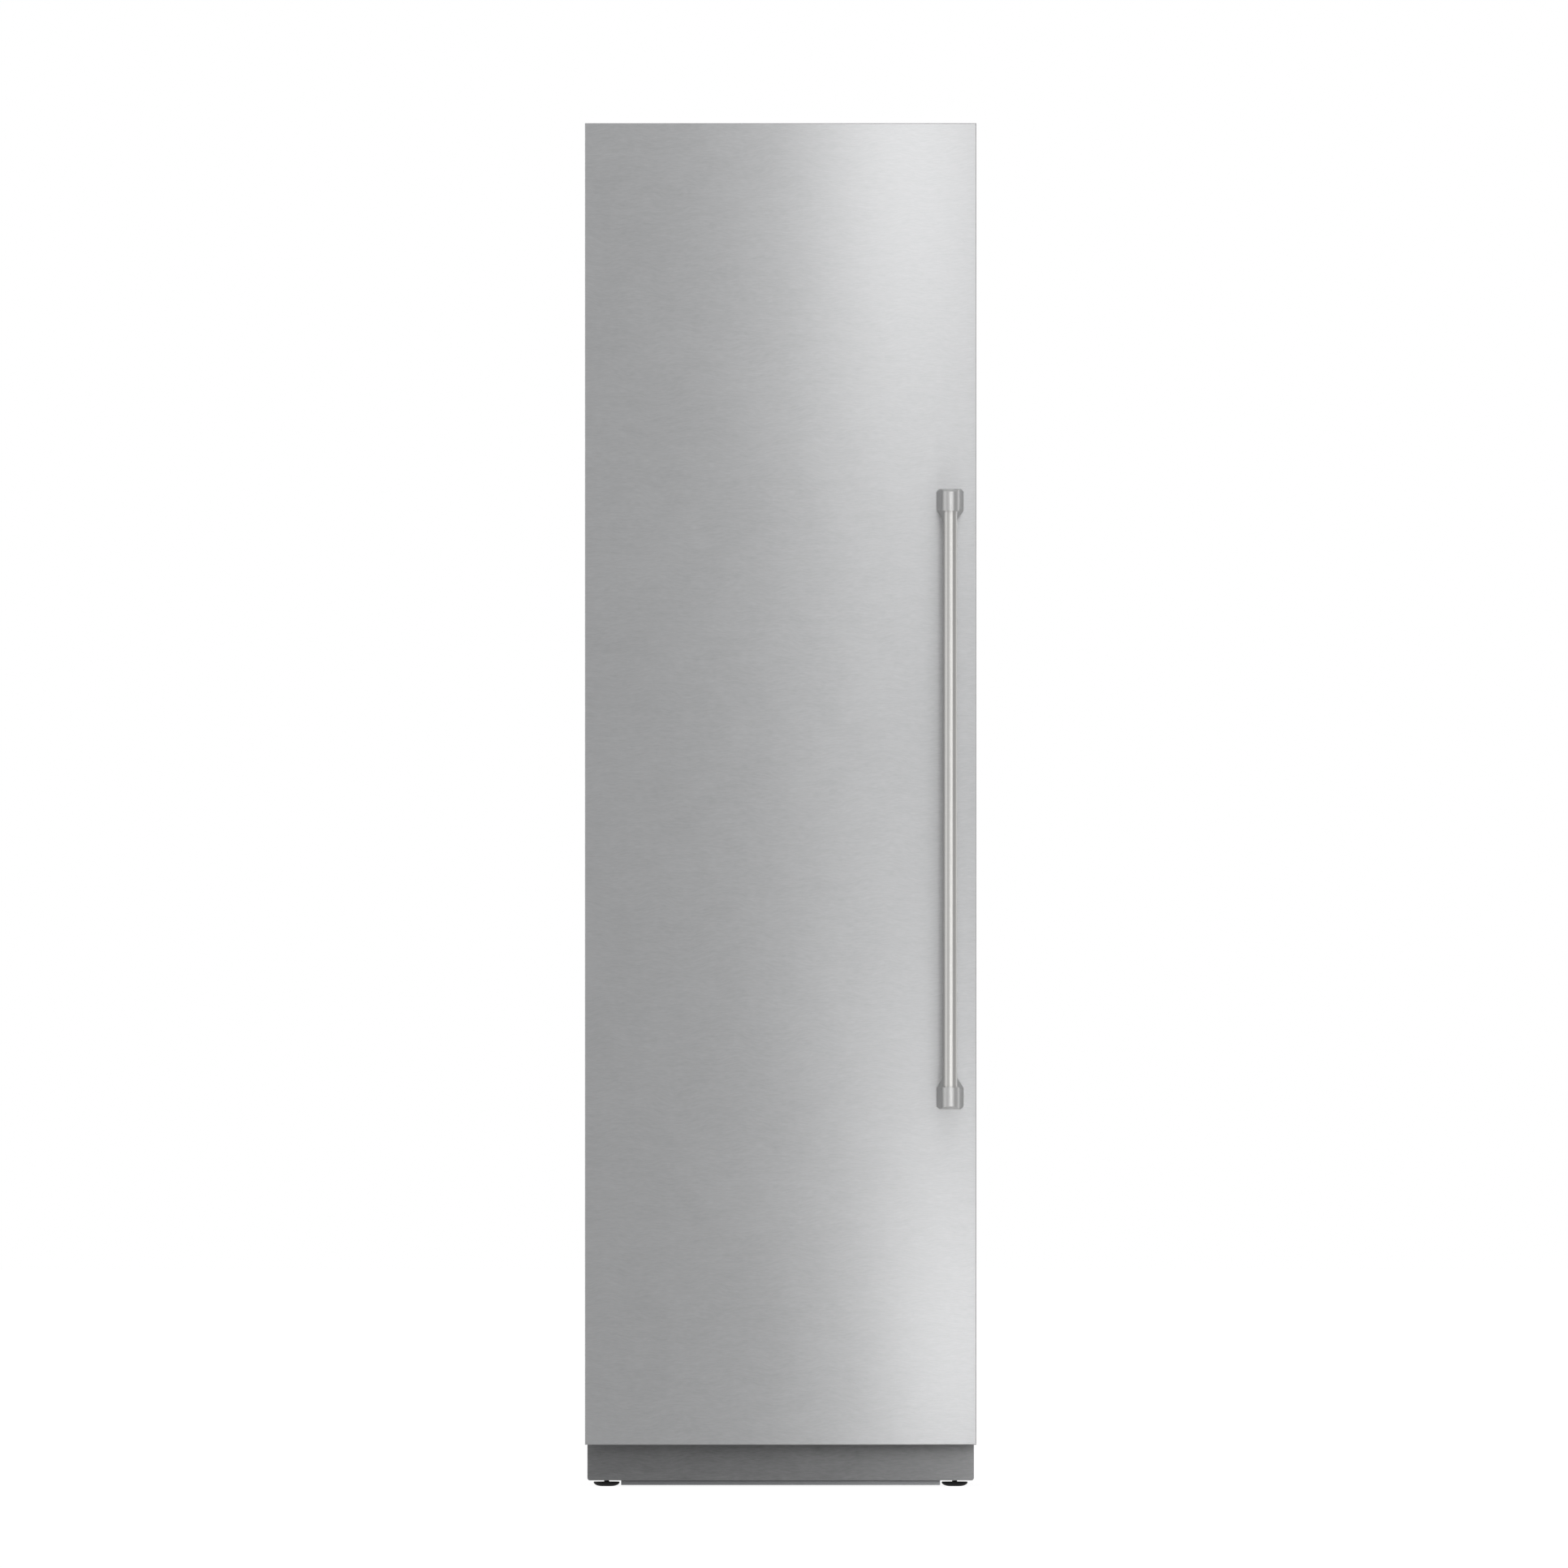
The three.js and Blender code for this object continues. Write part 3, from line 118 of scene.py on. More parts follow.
def placeCamera():
    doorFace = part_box("door_panel")[0].y
    place = (camera["x"], doorFace - camera["distance"], camera["z"])
    bpy.ops.object.camera_add(location=place, rotation=(quarter, 0, 0))
    made = bpy.context.object
    made.data.sensor_width = camera["sensor"]
    made.data.lens = camera["sensor"] * camera["distance"] / camera["frameSide"]
    made.data.clip_end = camera["sight"]
    bpy.context.scene.camera = made


studio = {
    "floorSide": 80.0,
    "floorTone": 0.12,  # the matt share of the white floor
    "floorGlow": 0.93,  # its share that shows even in full shadow
    "floorGloss": 0.5,  # the same, as gloss sees it
    "roomColour": (0.985, 0.99, 1, 1),
    "worldLevel": 0.85,  # light on matt surfaces from all round
    "room": [  # axis of a direction, where its level starts and stops to change, level before and after
        ("Y", -0.3, 0.6, 0.56, 1.0),  # from the camera's side of the room to the white backdrop
        ("X", 0.55, 0.8, 1.0, 0.42),  # to the dim right side
        ("Z", 0.1, 0.7, 1.8, 0.7),  # from the horizon up
    ],
}
lamps = {  # place, what it faces, width, height, watts
    "highFrontBox": ((0.38, -2.0, 2.38), (0.38, -0.28, 2.38), 0.42, 0.8, 5.4),
    "lowFrontBox": ((0.37, -2.0, 0.35), (0.37, -0.28, 0.35), 0.4, 0.6, 1.9),
    "floorBox": ((0.42, -1.1, 0.12), (0.42, -0.28, 0.12), 0.3, 0.2, 0.85),
    "rightFrontBox": ((1.25, -2.1, 1.15), (0.26, -0.33, 1.15), 0.8, 1.7, 4.6),
    "leftBox": ((-2.4, -1.4, 1.1), (0.26, -0.33, 1.1), 1.0, 1.6, 3.0),
    "topBox": ((0.0, -1.6, 4.2), (0.0, -0.1, 1.2), 2.2, 1.4, 6.5),
    "backBox": ((-1.2, 3.6, 2.6), (0.0, 0.2, 1.0), 2.0, 2.0, 26),
}


def buildStage():
    bpy.ops.object.select_all(action="DESELECT")
    bpy.ops.mesh.primitive_plane_add(size=studio["floorSide"], location=(0, 0, 0))
    floor = bpy.context.object
    floor.name = "studio_floor"
    paint = bpy.data.materials.new("floor_white")
    paint.use_nodes = True
    tree = paint.node_tree
    tree.nodes.clear()
    tone = studio["floorTone"]
    matt = addNode(tree, "BsdfDiffuse", Color=(tone, tone, tone, 1))
    fromCamera = addNode(tree, "LightPath").outputs["Is Camera Ray"]
    level = spread(tree, fromCamera, 0, 1, studio["floorGloss"], studio["floorGlow"])
    both = addNode(tree, "AddShader", matt, addNode(tree, "Emission", Color=white, Strength=level))
    addNode(tree, "OutputMaterial", addNode(tree, "MixShader", seenDirectly(tree), matt, both))
    floor.data.materials.append(paint)


def buildWorld():
    world = bpy.data.worlds.new("studio")
    world.use_nodes = True
    bpy.context.scene.world = world
    tree = world.node_tree
    tree.nodes.clear()
    # gloss sees a room that is white behind the object and dimmer on the camera's side
    way = addNode(tree, "SeparateXYZ", addNode(tree, "TexCoord").outputs["Generated"]).outputs
    shares = [spread(tree, way[axis], *limits, way="SMOOTHSTEP") for axis, *limits in studio["room"]]
    level = product(tree, product(tree, shares[0], shares[1]), shares[2])
    room = addNode(tree, "Background", Color=studio["roomColour"], Strength=level)
    soft = addNode(tree, "Background", Color=studio["roomColour"], Strength=studio["worldLevel"])
    backdrop = addNode(tree, "Background", Color=white, Strength=1.0)
    path = addNode(tree, "LightPath").outputs
    straight = larger(tree, path["Is Camera Ray"], path["Is Transmission Ray"])
    seen = addNode(tree, "MixShader", straight, room, backdrop)
    addNode(tree, "OutputWorld", addNode(tree, "MixShader", seenDirectly(tree), soft, seen))


def hangLamps():
    for name, (place, target, width, height, watts) in lamps.items():
        bpy.ops.object.light_add(type="AREA", location=place)
        lamp = bpy.context.object
        lamp.name = name
        lamp.data.shape = "RECTANGLE"
        lamp.data.size, lamp.data.size_y = width, height
        lamp.data.energy = watts
        lamp.rotation_euler = (Vector(target) - Vector(place)).to_track_quat("-Z", "Y").to_euler()
        lamp.visible_camera = False


bpy.context.scene.view_settings.view_transform = "Standard"
placeCamera()
buildStage()
buildWorld()
hangLamps()
print("camera, floor and lamps set")

effectSettings = {
    "grainRange": (0.32, 0.68),  # the middle of the noise, stretched over the whole range
    "driftScale": 13.0,  # bends of the brushing in a metre
    "coarseScale": 0.35,  # streaks, where the fine scratches have 1
    "coarseShare": 0.3,
    "smudgeRange": (0.34, 0.66),
    "smudgeSwirl": 0.9,
    "pebbleSoftness": 0.8,
    "pebbleNoise": 0.5,
    "dustScale": 26.0,
    "dustRange": (0.3, 0.7),
    "dustSlope": (0.5, 1.0),  # how far up a face must look for dust to stay
}


def drawGrain(tree, given):
    # long fine scratches: noise that is stretched far more along the brushing than across it.
    # Wave bends level scratches slightly up and down, by so many metres
    drift = addNode(tree, "TexNoise", Vector=given["Vector"], Scale=effectSettings["driftScale"], Detail=1.0)
    offset = addNode(tree, "CombineXYZ", Z=product(tree, drift, given["Wave"]))
    bent = addNode(tree, "VectorMath", given["Vector"], offset, operation="ADD")
    place = product(tree, bent, given["Stretch"], "VectorMath")
    fine = addNode(tree, "TexNoise", Vector=place, Scale=1.0, Detail=3.0, Roughness=0.6)
    coarse = addNode(
        tree, "TexNoise", Vector=place, Scale=effectSettings["coarseScale"], Detail=2.0, Roughness=0.5
    )
    both = addNode(tree, "Mix", Factor=effectSettings["coarseShare"], A=fine, B=coarse)
    return spread(tree, both, *effectSettings["grainRange"])


def drawSmudges(tree, given):
    # broad cloudy patches, as wiping and handling leave
    noise = addNode(
        tree, "TexNoise", Vector=given["Vector"], Scale=given["Size"], Detail=4.0, Roughness=0.55,
        Distortion=effectSettings["smudgeSwirl"],
    )
    return spread(tree, noise, *effectSettings["smudgeRange"])


def drawPebbles(tree, given):
    # the fine pebbling of moulded plastic, rubber and powder paint
    cells = addNode(
        tree, "TexVoronoi", Vector=given["Vector"], Scale=given["Size"], feature="SMOOTH_F1",
        Smoothness=effectSettings["pebbleSoftness"],
    )
    noise = addNode(tree, "TexNoise", Vector=given["Vector"], Scale=given["Size"], Detail=2.0)
    return addNode(
        tree, "Mix", Factor=effectSettings["pebbleNoise"], A=cells.outputs["Distance"], B=noise
    )


def drawSpangle(tree, given):
    # the crystal flakes of galvanised sheet
    cells = addNode(tree, "TexVoronoi", Vector=given["Vector"], Scale=given["Size"], Randomness=1.0)
    return addNode(tree, "SeparateColor", cells.outputs["Color"])


def drawDust(tree, given):
    # dust that settles on what faces up
    normal = addNode(tree, "NewGeometry").outputs["Normal"]
    up = spread(tree, addNode(tree, "SeparateXYZ", normal).outputs["Z"], *effectSettings["dustSlope"])
    noise = addNode(tree, "TexNoise", Vector=given["Vector"], Scale=effectSettings["dustScale"], Detail=5.0)
    patches = product(tree, up, spread(tree, noise, *effectSettings["dustRange"]))
    return product(tree, patches, given["Amount"])


def makeEffect(name, output, draw, **inputs):
    # a node group that reads a place on the piece and puts out one value
    group = bpy.data.node_groups.new(name, "ShaderNodeTree")
    for socket, kind in {"Vector": "Vector", **inputs}.items():
        group.interface.new_socket(socket, in_out="INPUT", socket_type="NodeSocket" + kind)
    group.interface.new_socket(output, in_out="OUTPUT", socket_type="NodeSocketFloat")
    drawn = draw(group, group.nodes.new("NodeGroupInput").outputs)
    link(group, drawn, group.nodes.new("NodeGroupOutput").inputs[output])
    return group


effects = {
    "grain": makeEffect("brushed grain", "Grain", drawGrain, Stretch="Vector", Wave="Float"),
    "smudge": makeEffect("smudges", "Mask", drawSmudges, Size="Float"),
    "pebble": makeEffect("pebbling", "Height", drawPebbles, Size="Float"),
    "spangle": makeEffect("spangle", "Flake", drawSpangle, Size="Float"),
    "dust": makeEffect("settled dust", "Mask", drawDust, Amount="Float"),
}


def useEffect(tree, name, place, **values):
    node = tree.nodes.new("ShaderNodeGroup")
    node.node_tree = effects[name]
    for key, value in {"Vector": place, **values}.items():
        link(tree, value, node.inputs[key])
    return node


def blendColours(tree, mask, *pair):
    node = addNode(tree, "Mix", mask, data_type="RGBA")
    for socket, colour in zip([socket for socket in node.inputs if socket.type == "RGBA"], pair):
        link(tree, colour, socket)
    return next(socket for socket in node.outputs if socket.type == "RGBA")


def makeLook(name, look):
    # colour varies by tint and roughness by patchy; grain, pebble and spangle give the relief
    material = bpy.data.materials.new(name)
    material.use_nodes = True
    tree = material.node_tree
    shader = tree.nodes["Principled BSDF"].inputs
    place = addNode(tree, "TexCoord").outputs["Object"]
    relief = smudge = useEffect(tree, "smudge", place, Size=look.get("smudgeSize", 7.0))
    if "grain" in look:
        relief = useEffect(tree, "grain", place, Stretch=look["grain"], Wave=look.get("grainWave", 0.0))
    for effect in ("pebble", "spangle"):
        if effect in look:
            relief = useEffect(tree, effect, place, Size=look[effect])
    mask = addNode(tree, "Mix", Factor=look.get("smudgeShare", 0.5), A=relief, B=smudge)
    tint = look.get("tint", 0.03)
    pair = [tuple(min(1.0, c * share) for c in look["colour"]) + (1,) for share in (1 - tint, 1 + tint)]
    colour = blendColours(tree, mask, *pair)
    if "stain" in look:
        stain, size = look["stain"]
        colour = blendColours(tree, useEffect(tree, "smudge", place, Size=size), colour, stain + (1,))
    if "dust" in look:
        settled = useEffect(tree, "dust", place, Amount=look["dust"])
        colour = blendColours(tree, settled, colour, dustColour)
    link(tree, colour, shader["Base Color"])
    rough, patchy = look["roughness"], look.get("patchy", 0.04)
    link(tree, spread(tree, mask, 0, 1, rough - patchy, rough + patchy), shader["Roughness"])
    if "depth" in look:
        bump = addNode(tree, "Bump", Strength=1.0, Distance=look["depth"], Height=relief)
        link(tree, bump, shader["Normal"])
    for key, value in look.get("shader", {}).items():
        shader[key].default_value = value
    return material


def metalWith(anisotropy=0.0):
    # the shader values of metal, brushed where the anisotropy isn't 0
    return {"Metallic": 1.0, "Anisotropic": anisotropy, "Anisotropic Rotation": 0.25 if anisotropy else 0.0}


dustColour = (0.46, 0.44, 0.41, 1)
lookSettings = {
    "brushed_steel": {
        "colour": (0.485, 0.488, 0.492), "roughness": 0.46, "tint": 0.1, "patchy": 0.03,
        "grain": (80.0, 520.0, 520.0), "grainWave": 0.028, "depth": 0.00001,
        "smudgeSize": 9.0, "smudgeShare": 0.22, "shader": metalWith(0.75),
    },
    "polished_steel": {
        "colour": (0.66, 0.652, 0.632), "roughness": 0.36, "tint": 0.05, "patchy": 0.03,
        "grain": (60.0, 60.0, 700.0), "depth": 0.000003, "shader": metalWith(0.85),
    },
    "bracket_steel": {
        "colour": (0.66, 0.658, 0.65), "roughness": 0.5, "tint": 0.07, "patchy": 0.05,
        "grain": (240.0, 240.0, 700.0), "depth": 0.00001, "shader": metalWith(0.7),
    },
    # kick_steel is the door's brushed steel made darker: partly its own darker tone, partly painted shade of the
    # door's overhang on the toe kick
    "kick_steel": {
        "colour": (0.235, 0.236, 0.238), "roughness": 0.48, "tint": 0.22, "patchy": 0.05,
        "grain": (80.0, 520.0, 520.0), "grainWave": 0.02, "depth": 0.00001,
        "smudgeSize": 14.0, "smudgeShare": 0.25, "shader": metalWith(0.75),
    },
    # shaded_tray_steel is a darker copy of zinc_steel: painted shade of the tray's skirt under the toe kick
    "shaded_tray_steel": {
        "colour": (0.19, 0.193, 0.198), "roughness": 0.4, "tint": 0.12, "patchy": 0.08,
        "spangle": 90.0, "smudgeShare": 0.4, "dust": 0.25, "shader": metalWith(),
    },
    "zinc_steel": {
        "colour": (0.50, 0.51, 0.52), "roughness": 0.44, "tint": 0.14, "patchy": 0.08,
        "spangle": 120.0, "smudgeShare": 0.3, "dust": 0.25, "shader": metalWith(),
    },
    "grey_paint": {
        "colour": (0.40, 0.41, 0.42), "roughness": 0.52, "pebble": 900.0, "depth": 0.00006, "dust": 0.2,
        "shader": {"Specular IOR Level": 0.45},
    },
    "black_paint": {
        "colour": (0.017, 0.017, 0.018), "roughness": 0.36, "tint": 0.15, "pebble": 700.0,
        "depth": 0.00004, "dust": 0.3, "shader": {"Coat Weight": 0.25},
    },
    "white_plastic": {
        "colour": (0.80, 0.81, 0.815), "roughness": 0.36, "tint": 0.015, "pebble": 1300.0, "depth": 0.00003,
    },
    "clear_plastic": {
        "colour": (0.955, 0.98, 0.985), "roughness": 0.06, "tint": 0.02, "patchy": 0.03, "smudgeSize": 16.0,
        "shader": {"Transmission Weight": 1.0, "IOR": 1.46},
    },
    "dark_plastic": {
        "colour": (0.024, 0.024, 0.026), "roughness": 0.5, "tint": 0.12, "pebble": 1100.0,
        "depth": 0.00005, "dust": 0.12,
    },
    "shelf_glass": {
        "colour": (0.92, 0.972, 0.955), "roughness": 0.02, "tint": 0.01, "patchy": 0.015, "smudgeSize": 12.0,
        "shader": {"Transmission Weight": 1.0, "IOR": 1.5},
    },
    "gasket_rubber": {
        "colour": (0.44, 0.45, 0.46), "roughness": 0.72, "tint": 0.05, "pebble": 1500.0, "depth": 0.00004,
    },
    "black_rubber": {
        "colour": (0.004, 0.004, 0.0042), "roughness": 0.75, "tint": 0.2, "pebble": 1200.0, "depth": 0.00005,
    },
    "foam": {
        "colour": (0.68, 0.58, 0.32), "roughness": 0.93, "tint": 0.12, "pebble": 380.0, "depth": 0.0004,
    },
    "door_shell": {
        "colour": (0.60, 0.61, 0.62), "roughness": 0.42, "tint": 0.02, "pebble": 1200.0, "depth": 0.00003,
    },
    "aluminium": {
        "colour": (0.68, 0.69, 0.71), "roughness": 0.33, "tint": 0.05, "grain": (7.0, 540.0, 540.0),
        "depth": 0.000004, "shader": metalWith(),
    },
    "copper": {
        "colour": (0.68, 0.34, 0.21), "roughness": 0.3, "tint": 0.08, "patchy": 0.08,
        "stain": ((0.26, 0.12, 0.07), 38.0), "smudgeSize": 30.0, "shader": metalWith(),
    },
    "brass": {
        "colour": (0.62, 0.46, 0.20), "roughness": 0.3, "tint": 0.06, "patchy": 0.06, "smudgeSize": 60.0,
        "shader": metalWith(),
    },
    "display_glass": {
        "colour": (0.012, 0.013, 0.015), "roughness": 0.06, "tint": 0.1, "patchy": 0.03, "smudgeSize": 60.0,
        "shader": {"Coat Weight": 0.6},
    },
    "lamp_lens": {
        "colour": (0.92, 0.94, 0.96), "roughness": 0.25, "tint": 0.02, "pebble": 500.0, "depth": 0.0003,
        "shader": {"Emission Color": (0.93, 0.97, 1.0, 1), "Emission Strength": 3.0},
    },
    "indicator": {
        "colour": (0.5, 0.75, 0.9), "roughness": 0.3, "tint": 0.02,
        "shader": {"Emission Color": (0.45, 0.8, 1.0, 1), "Emission Strength": 1.2},
    },
}
looks = {name: makeLook(name, look) for name, look in lookSettings.items()}
print("finishes made:", len(looks))


def selectOnly(piece=None):
    if bpy.context.object and bpy.context.object.mode == "EDIT":
        endEdit()
    bpy.ops.object.select_all(action="DESELECT")
    if piece:
        piece.select_set(True)
        bpy.context.view_layer.objects.active = piece


def editAll(piece, kind="VERT"):
    selectOnly(piece)
    bpy.ops.object.mode_set(mode="EDIT")
    bpy.ops.mesh.select_mode(type=kind)
    bpy.ops.mesh.select_all(action="SELECT")


def endEdit():
    bpy.ops.object.mode_set(mode="OBJECT")


def closeMesh():
    # merges the points that meet, turns the faces outwards and leaves edit mode
    bpy.ops.mesh.select_all(action="SELECT")
    bpy.ops.mesh.remove_doubles(threshold=weld)
    bpy.ops.mesh.normals_make_consistent(inside=False)
    endEdit()


def extrudeBy(*step):
    bpy.ops.mesh.extrude_region_move(TRANSFORM_OT_translate={"value": step})


def applyPlace():
    # puts the object's place, turn and scale into its mesh
    bpy.ops.object.transform_apply(location=True, rotation=True, scale=True)


def named(name):
    piece = bpy.context.object
    piece.name = piece.data.name = name
    applyPlace()
    return piece


def moved(piece, place=(0, 0, 0), turn=(0, 0, 0)):
    selectOnly(piece)
    piece.location, piece.rotation_euler = place, turn
    applyPlace()
    return piece


def middleOf(low, high):
    return [(a + b) / 2 for a, b in zip(low, high)]


def addBlock(name, low, high):
    selectOnly()
    bpy.ops.mesh.primitive_cube_add(size=1, location=middleOf(low, high))
    bpy.context.object.scale = [b - a for a, b in zip(low, high)]
    return named(name)


def addRod(name, start, end, radius, sides=48):
    selectOnly()
    run = Vector(end) - Vector(start)
    bpy.ops.mesh.primitive_cylinder_add(
        vertices=sides, radius=radius, depth=run.length, location=(Vector(start) + Vector(end)) / 2
    )
    bpy.context.object.rotation_euler = run.to_track_quat("Z", "Y").to_euler()
    return named(name)


def addTurned(name, profile, base, axis="Z", steps=64):
    # a profile of (radius, height) points, extruded point by point and spun round the axis
    selectOnly()
    bpy.ops.mesh.primitive_plane_add(size=0.001)
    editAll(bpy.context.object)
    bpy.ops.mesh.merge(type="CENTER")
    bpy.ops.transform.translate(value=(profile[0][0], 0, profile[0][1]))
    for (r0, h0), (r1, h1) in zip(profile, profile[1:]):
        extrudeBy(r1 - r0, 0, h1 - h0)
    bpy.ops.mesh.select_all(action="SELECT")
    bpy.ops.mesh.spin(steps=steps, angle=2 * math.pi, center=(0, 0, 0), axis=(0, 0, 1))
    closeMesh()
    bpy.context.object.rotation_euler = turns[axis]
    bpy.context.object.location = base
    return named(name)


def addFrame(name, loops, capped=False):
    # rectangles of (half width, low z, high z, y), each extruded and resized from the last
    half, low, high, y = loops[0]
    selectOnly()
    bpy.ops.mesh.primitive_plane_add(size=2, location=(0, y, (low + high) / 2), rotation=(quarter, 0, 0))
    bpy.context.object.scale = (half, (high - low) / 2, 1)
    piece = named(name)
    editAll(piece, "EDGE")
    if not capped:
        bpy.ops.mesh.delete(type="ONLY_FACE")
        bpy.ops.mesh.select_all(action="SELECT")
        loops = loops + [loops[0]]
    for (h0, a0, b0, y0), (h1, a1, b1, y1) in zip(loops, loops[1:]):
        extrudeBy(0, y1 - y0, (a1 + b1 - a0 - b0) / 2)
        bpy.ops.transform.resize(
            value=(h1 / h0, 1, (b1 - a1) / (b0 - a0)), center_override=(0, y1, (a1 + b1) / 2)
        )
    closeMesh()
    return piece


def duplicated(source, name):
    made = bpy.data.objects.new(name, source.data.copy())
    bpy.context.scene.collection.objects.link(made)
    made.data.name = name
    selectOnly(made)
    return made


def copyOf(node, name):
    # a merged copy of a CAD node's mesh, with its flat faces whole again
    piece = duplicated(nodes[node], name)
    bpy.ops.mesh.customdata_custom_splitnormals_clear()
    editAll(piece)
    bpy.ops.mesh.remove_doubles(threshold=nodeWeld)
    bpy.ops.mesh.dissolve_limited(angle_limit=math.radians(0.5))
    endEdit()
    return piece


def pick(piece, kind, test):
    # selects, in edit mode, the faces or edges that the test accepts
    editAll(piece, kind)
    bpy.ops.mesh.select_all(action="DESELECT")
    mesh = bmesh.from_edit_mesh(piece.data)
    for part in mesh.faces if kind == "FACE" else mesh.edges:
        if test(part, [vert.co for vert in part.verts]):
            part.select_set(True)
    mesh.select_flush_mode()
    bmesh.update_edit_mesh(piece.data)


def bevelWhere(piece, test, width, segments=4):
    pick(piece, "EDGE", test)
    bpy.ops.mesh.bevel(offset=width, segments=segments, affect="EDGES")
    endEdit()
    return piece


def runsAlong(axis, least=0.01):
    # a test for the edges that run along an axis
    place = "XYZ".index(axis)
    return lambda edge, ends: abs(ends[0][place] - ends[1][place]) > least


def applied(piece, kind, **settings):
    selectOnly(piece)
    change = piece.modifiers.new(kind.lower(), kind)
    for key, value in settings.items():
        setattr(change, key, value)
    bpy.ops.object.modifier_apply(modifier=change.name)
    return piece


def rounded(piece, width, segments=2, angle=30):
    selectOnly(piece)
    bpy.ops.object.shade_smooth()
    return applied(
        piece, "BEVEL", width=width, segments=segments, limit_method="ANGLE",
        angle_limit=math.radians(angle), harden_normals=True,
    )


def smoothed(piece, angle=35):
    selectOnly(piece)
    bpy.ops.object.shade_smooth_by_angle(angle=math.radians(angle))
    return piece


def changed(piece, tool, operation="DIFFERENCE"):
    applied(piece, "BOOLEAN", object=tool, operation=operation, solver="EXACT")
    bpy.data.objects.remove(tool)
    return piece


def joined(name, parts):
    selectOnly(parts[0])
    for part in parts:
        part.select_set(True)
    bpy.ops.object.join()
    piece = bpy.context.object
    piece.name = piece.data.name = name
    return piece


def addPipe(name, points, radius, bend, steps=6):
    # a tube along straight runs with rounded corners
    at = [Vector(point) for point in points]
    line = [at[0]]
    for before, here, after in zip(at, at[1:], at[2:]):
        enter = here + (before - here).normalized() * bend
        leave = here + (after - here).normalized() * bend
        for step in range(steps + 1):
            t = step / steps
            line.append(enter.lerp(here, t).lerp(here.lerp(leave, t), t))
    line.append(at[-1])
    path = bpy.data.curves.new(name, "CURVE")
    path.dimensions = "3D"
    spline = path.splines.new("POLY")
    spline.points.add(len(line) - 1)
    for point, spot in zip(spline.points, line):
        point.co = (*spot, 1)
    path.bevel_depth = radius
    path.bevel_resolution = 4
    path.use_fill_caps = True
    piece = bpy.data.objects.new(name, path)
    bpy.context.scene.collection.objects.link(piece)
    selectOnly(piece)
    bpy.ops.object.convert(target="MESH")
    piece = named(name)
    editAll(piece)
    closeMesh()
    return smoothed(piece, 45)


def finishPiece(piece, slot, *stoodFor, body="cabinet", look=None):
    # a piece rides with the CAD nodes that it stands for, and with the given body where there are none
    piece.data.materials.clear()
    piece.data.materials.append(looks[look or slot])
    if stoodFor:
        body = bodyOf[stoodFor[0]]
    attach(piece, body)
    if stoodFor:
        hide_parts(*stoodFor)
    return piece


doorSkin = {"edgeRadius": 0.0014, "rimRadius": 0.0003, "coreRadius": 0.0012}


def buildDoorSkin():
    low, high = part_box("door_panel")
    skin = copyOf("door_panel", "door_panel_skin")
    limits = ((0, low.x), (0, high.x), (2, low.z), (2, high.z))

    def roundTheFace(edge, ends):
        onFace = all(end.y < low.y + near for end in ends)
        return onFace and any(all(abs(end[a] - limit) < near for end in ends) for a, limit in limits)

    bevelWhere(skin, roundTheFace, doorSkin["edgeRadius"])
    rounded(skin, doorSkin["rimRadius"])
    finishPiece(skin, "brushed_steel", "door_panel")


handle = {
    "sides": 96,
    "collarRadius": 0.0138,
    "collarLength": 0.0338,
    "bevelDrop": 0.0042,  # how much lower the collar's bevelled end is at its far side
    "boreDepth": 0.026,
    "boreRadius": 0.0111,
    "edgeRadius": 0.0005,
    "endChamfer": 0.0006,
    "grooveDepth": 0.001,
    "grooveWidth": 0.0012,
    # outlines of the post in (x, z) millimetres, from the bar's middle and the bracket's outer end
    "base": [(-17, 0), (-21, -4), (-21, -32.5), (-11, -47.5), (11, -47.5), (21, -32.5), (21, -4), (17, 0)],
    "neck": [(-11, 0), (-13, -2), (-13, -31), (-9, -33.8), (9, -33.8), (13, -31), (13, -2), (11, 0)],
}


def buildHandleBar():
    low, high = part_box("handle_bar")
    x, y, _ = middleOf(low, high)
    radius = (high.x - low.x) / 2
    cut = handle["endChamfer"]
    # a fine groove is turned into the bar where it leaves each collar
    deep, wide = radius - handle["grooveDepth"], handle["grooveWidth"]
    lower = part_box("handle_bracket_bottom")[0].z + handle["collarLength"]
    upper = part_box("handle_bracket_top")[1].z - handle["collarLength"]
    profile = [(0, low.z), (radius - cut, low.z), (radius, low.z + cut)]
    for z in (lower, upper - wide):
        profile += [(radius, z), (deep, z), (deep, z + wide), (radius, z + wide)]
    profile += [(radius, high.z - cut), (radius - cut, high.z), (0, high.z)]
    bar = smoothed(addTurned("handle_bar_round", profile, (x, y, 0), steps=handle["sides"]))
    finishPiece(bar, "polished_steel", "handle_bar")


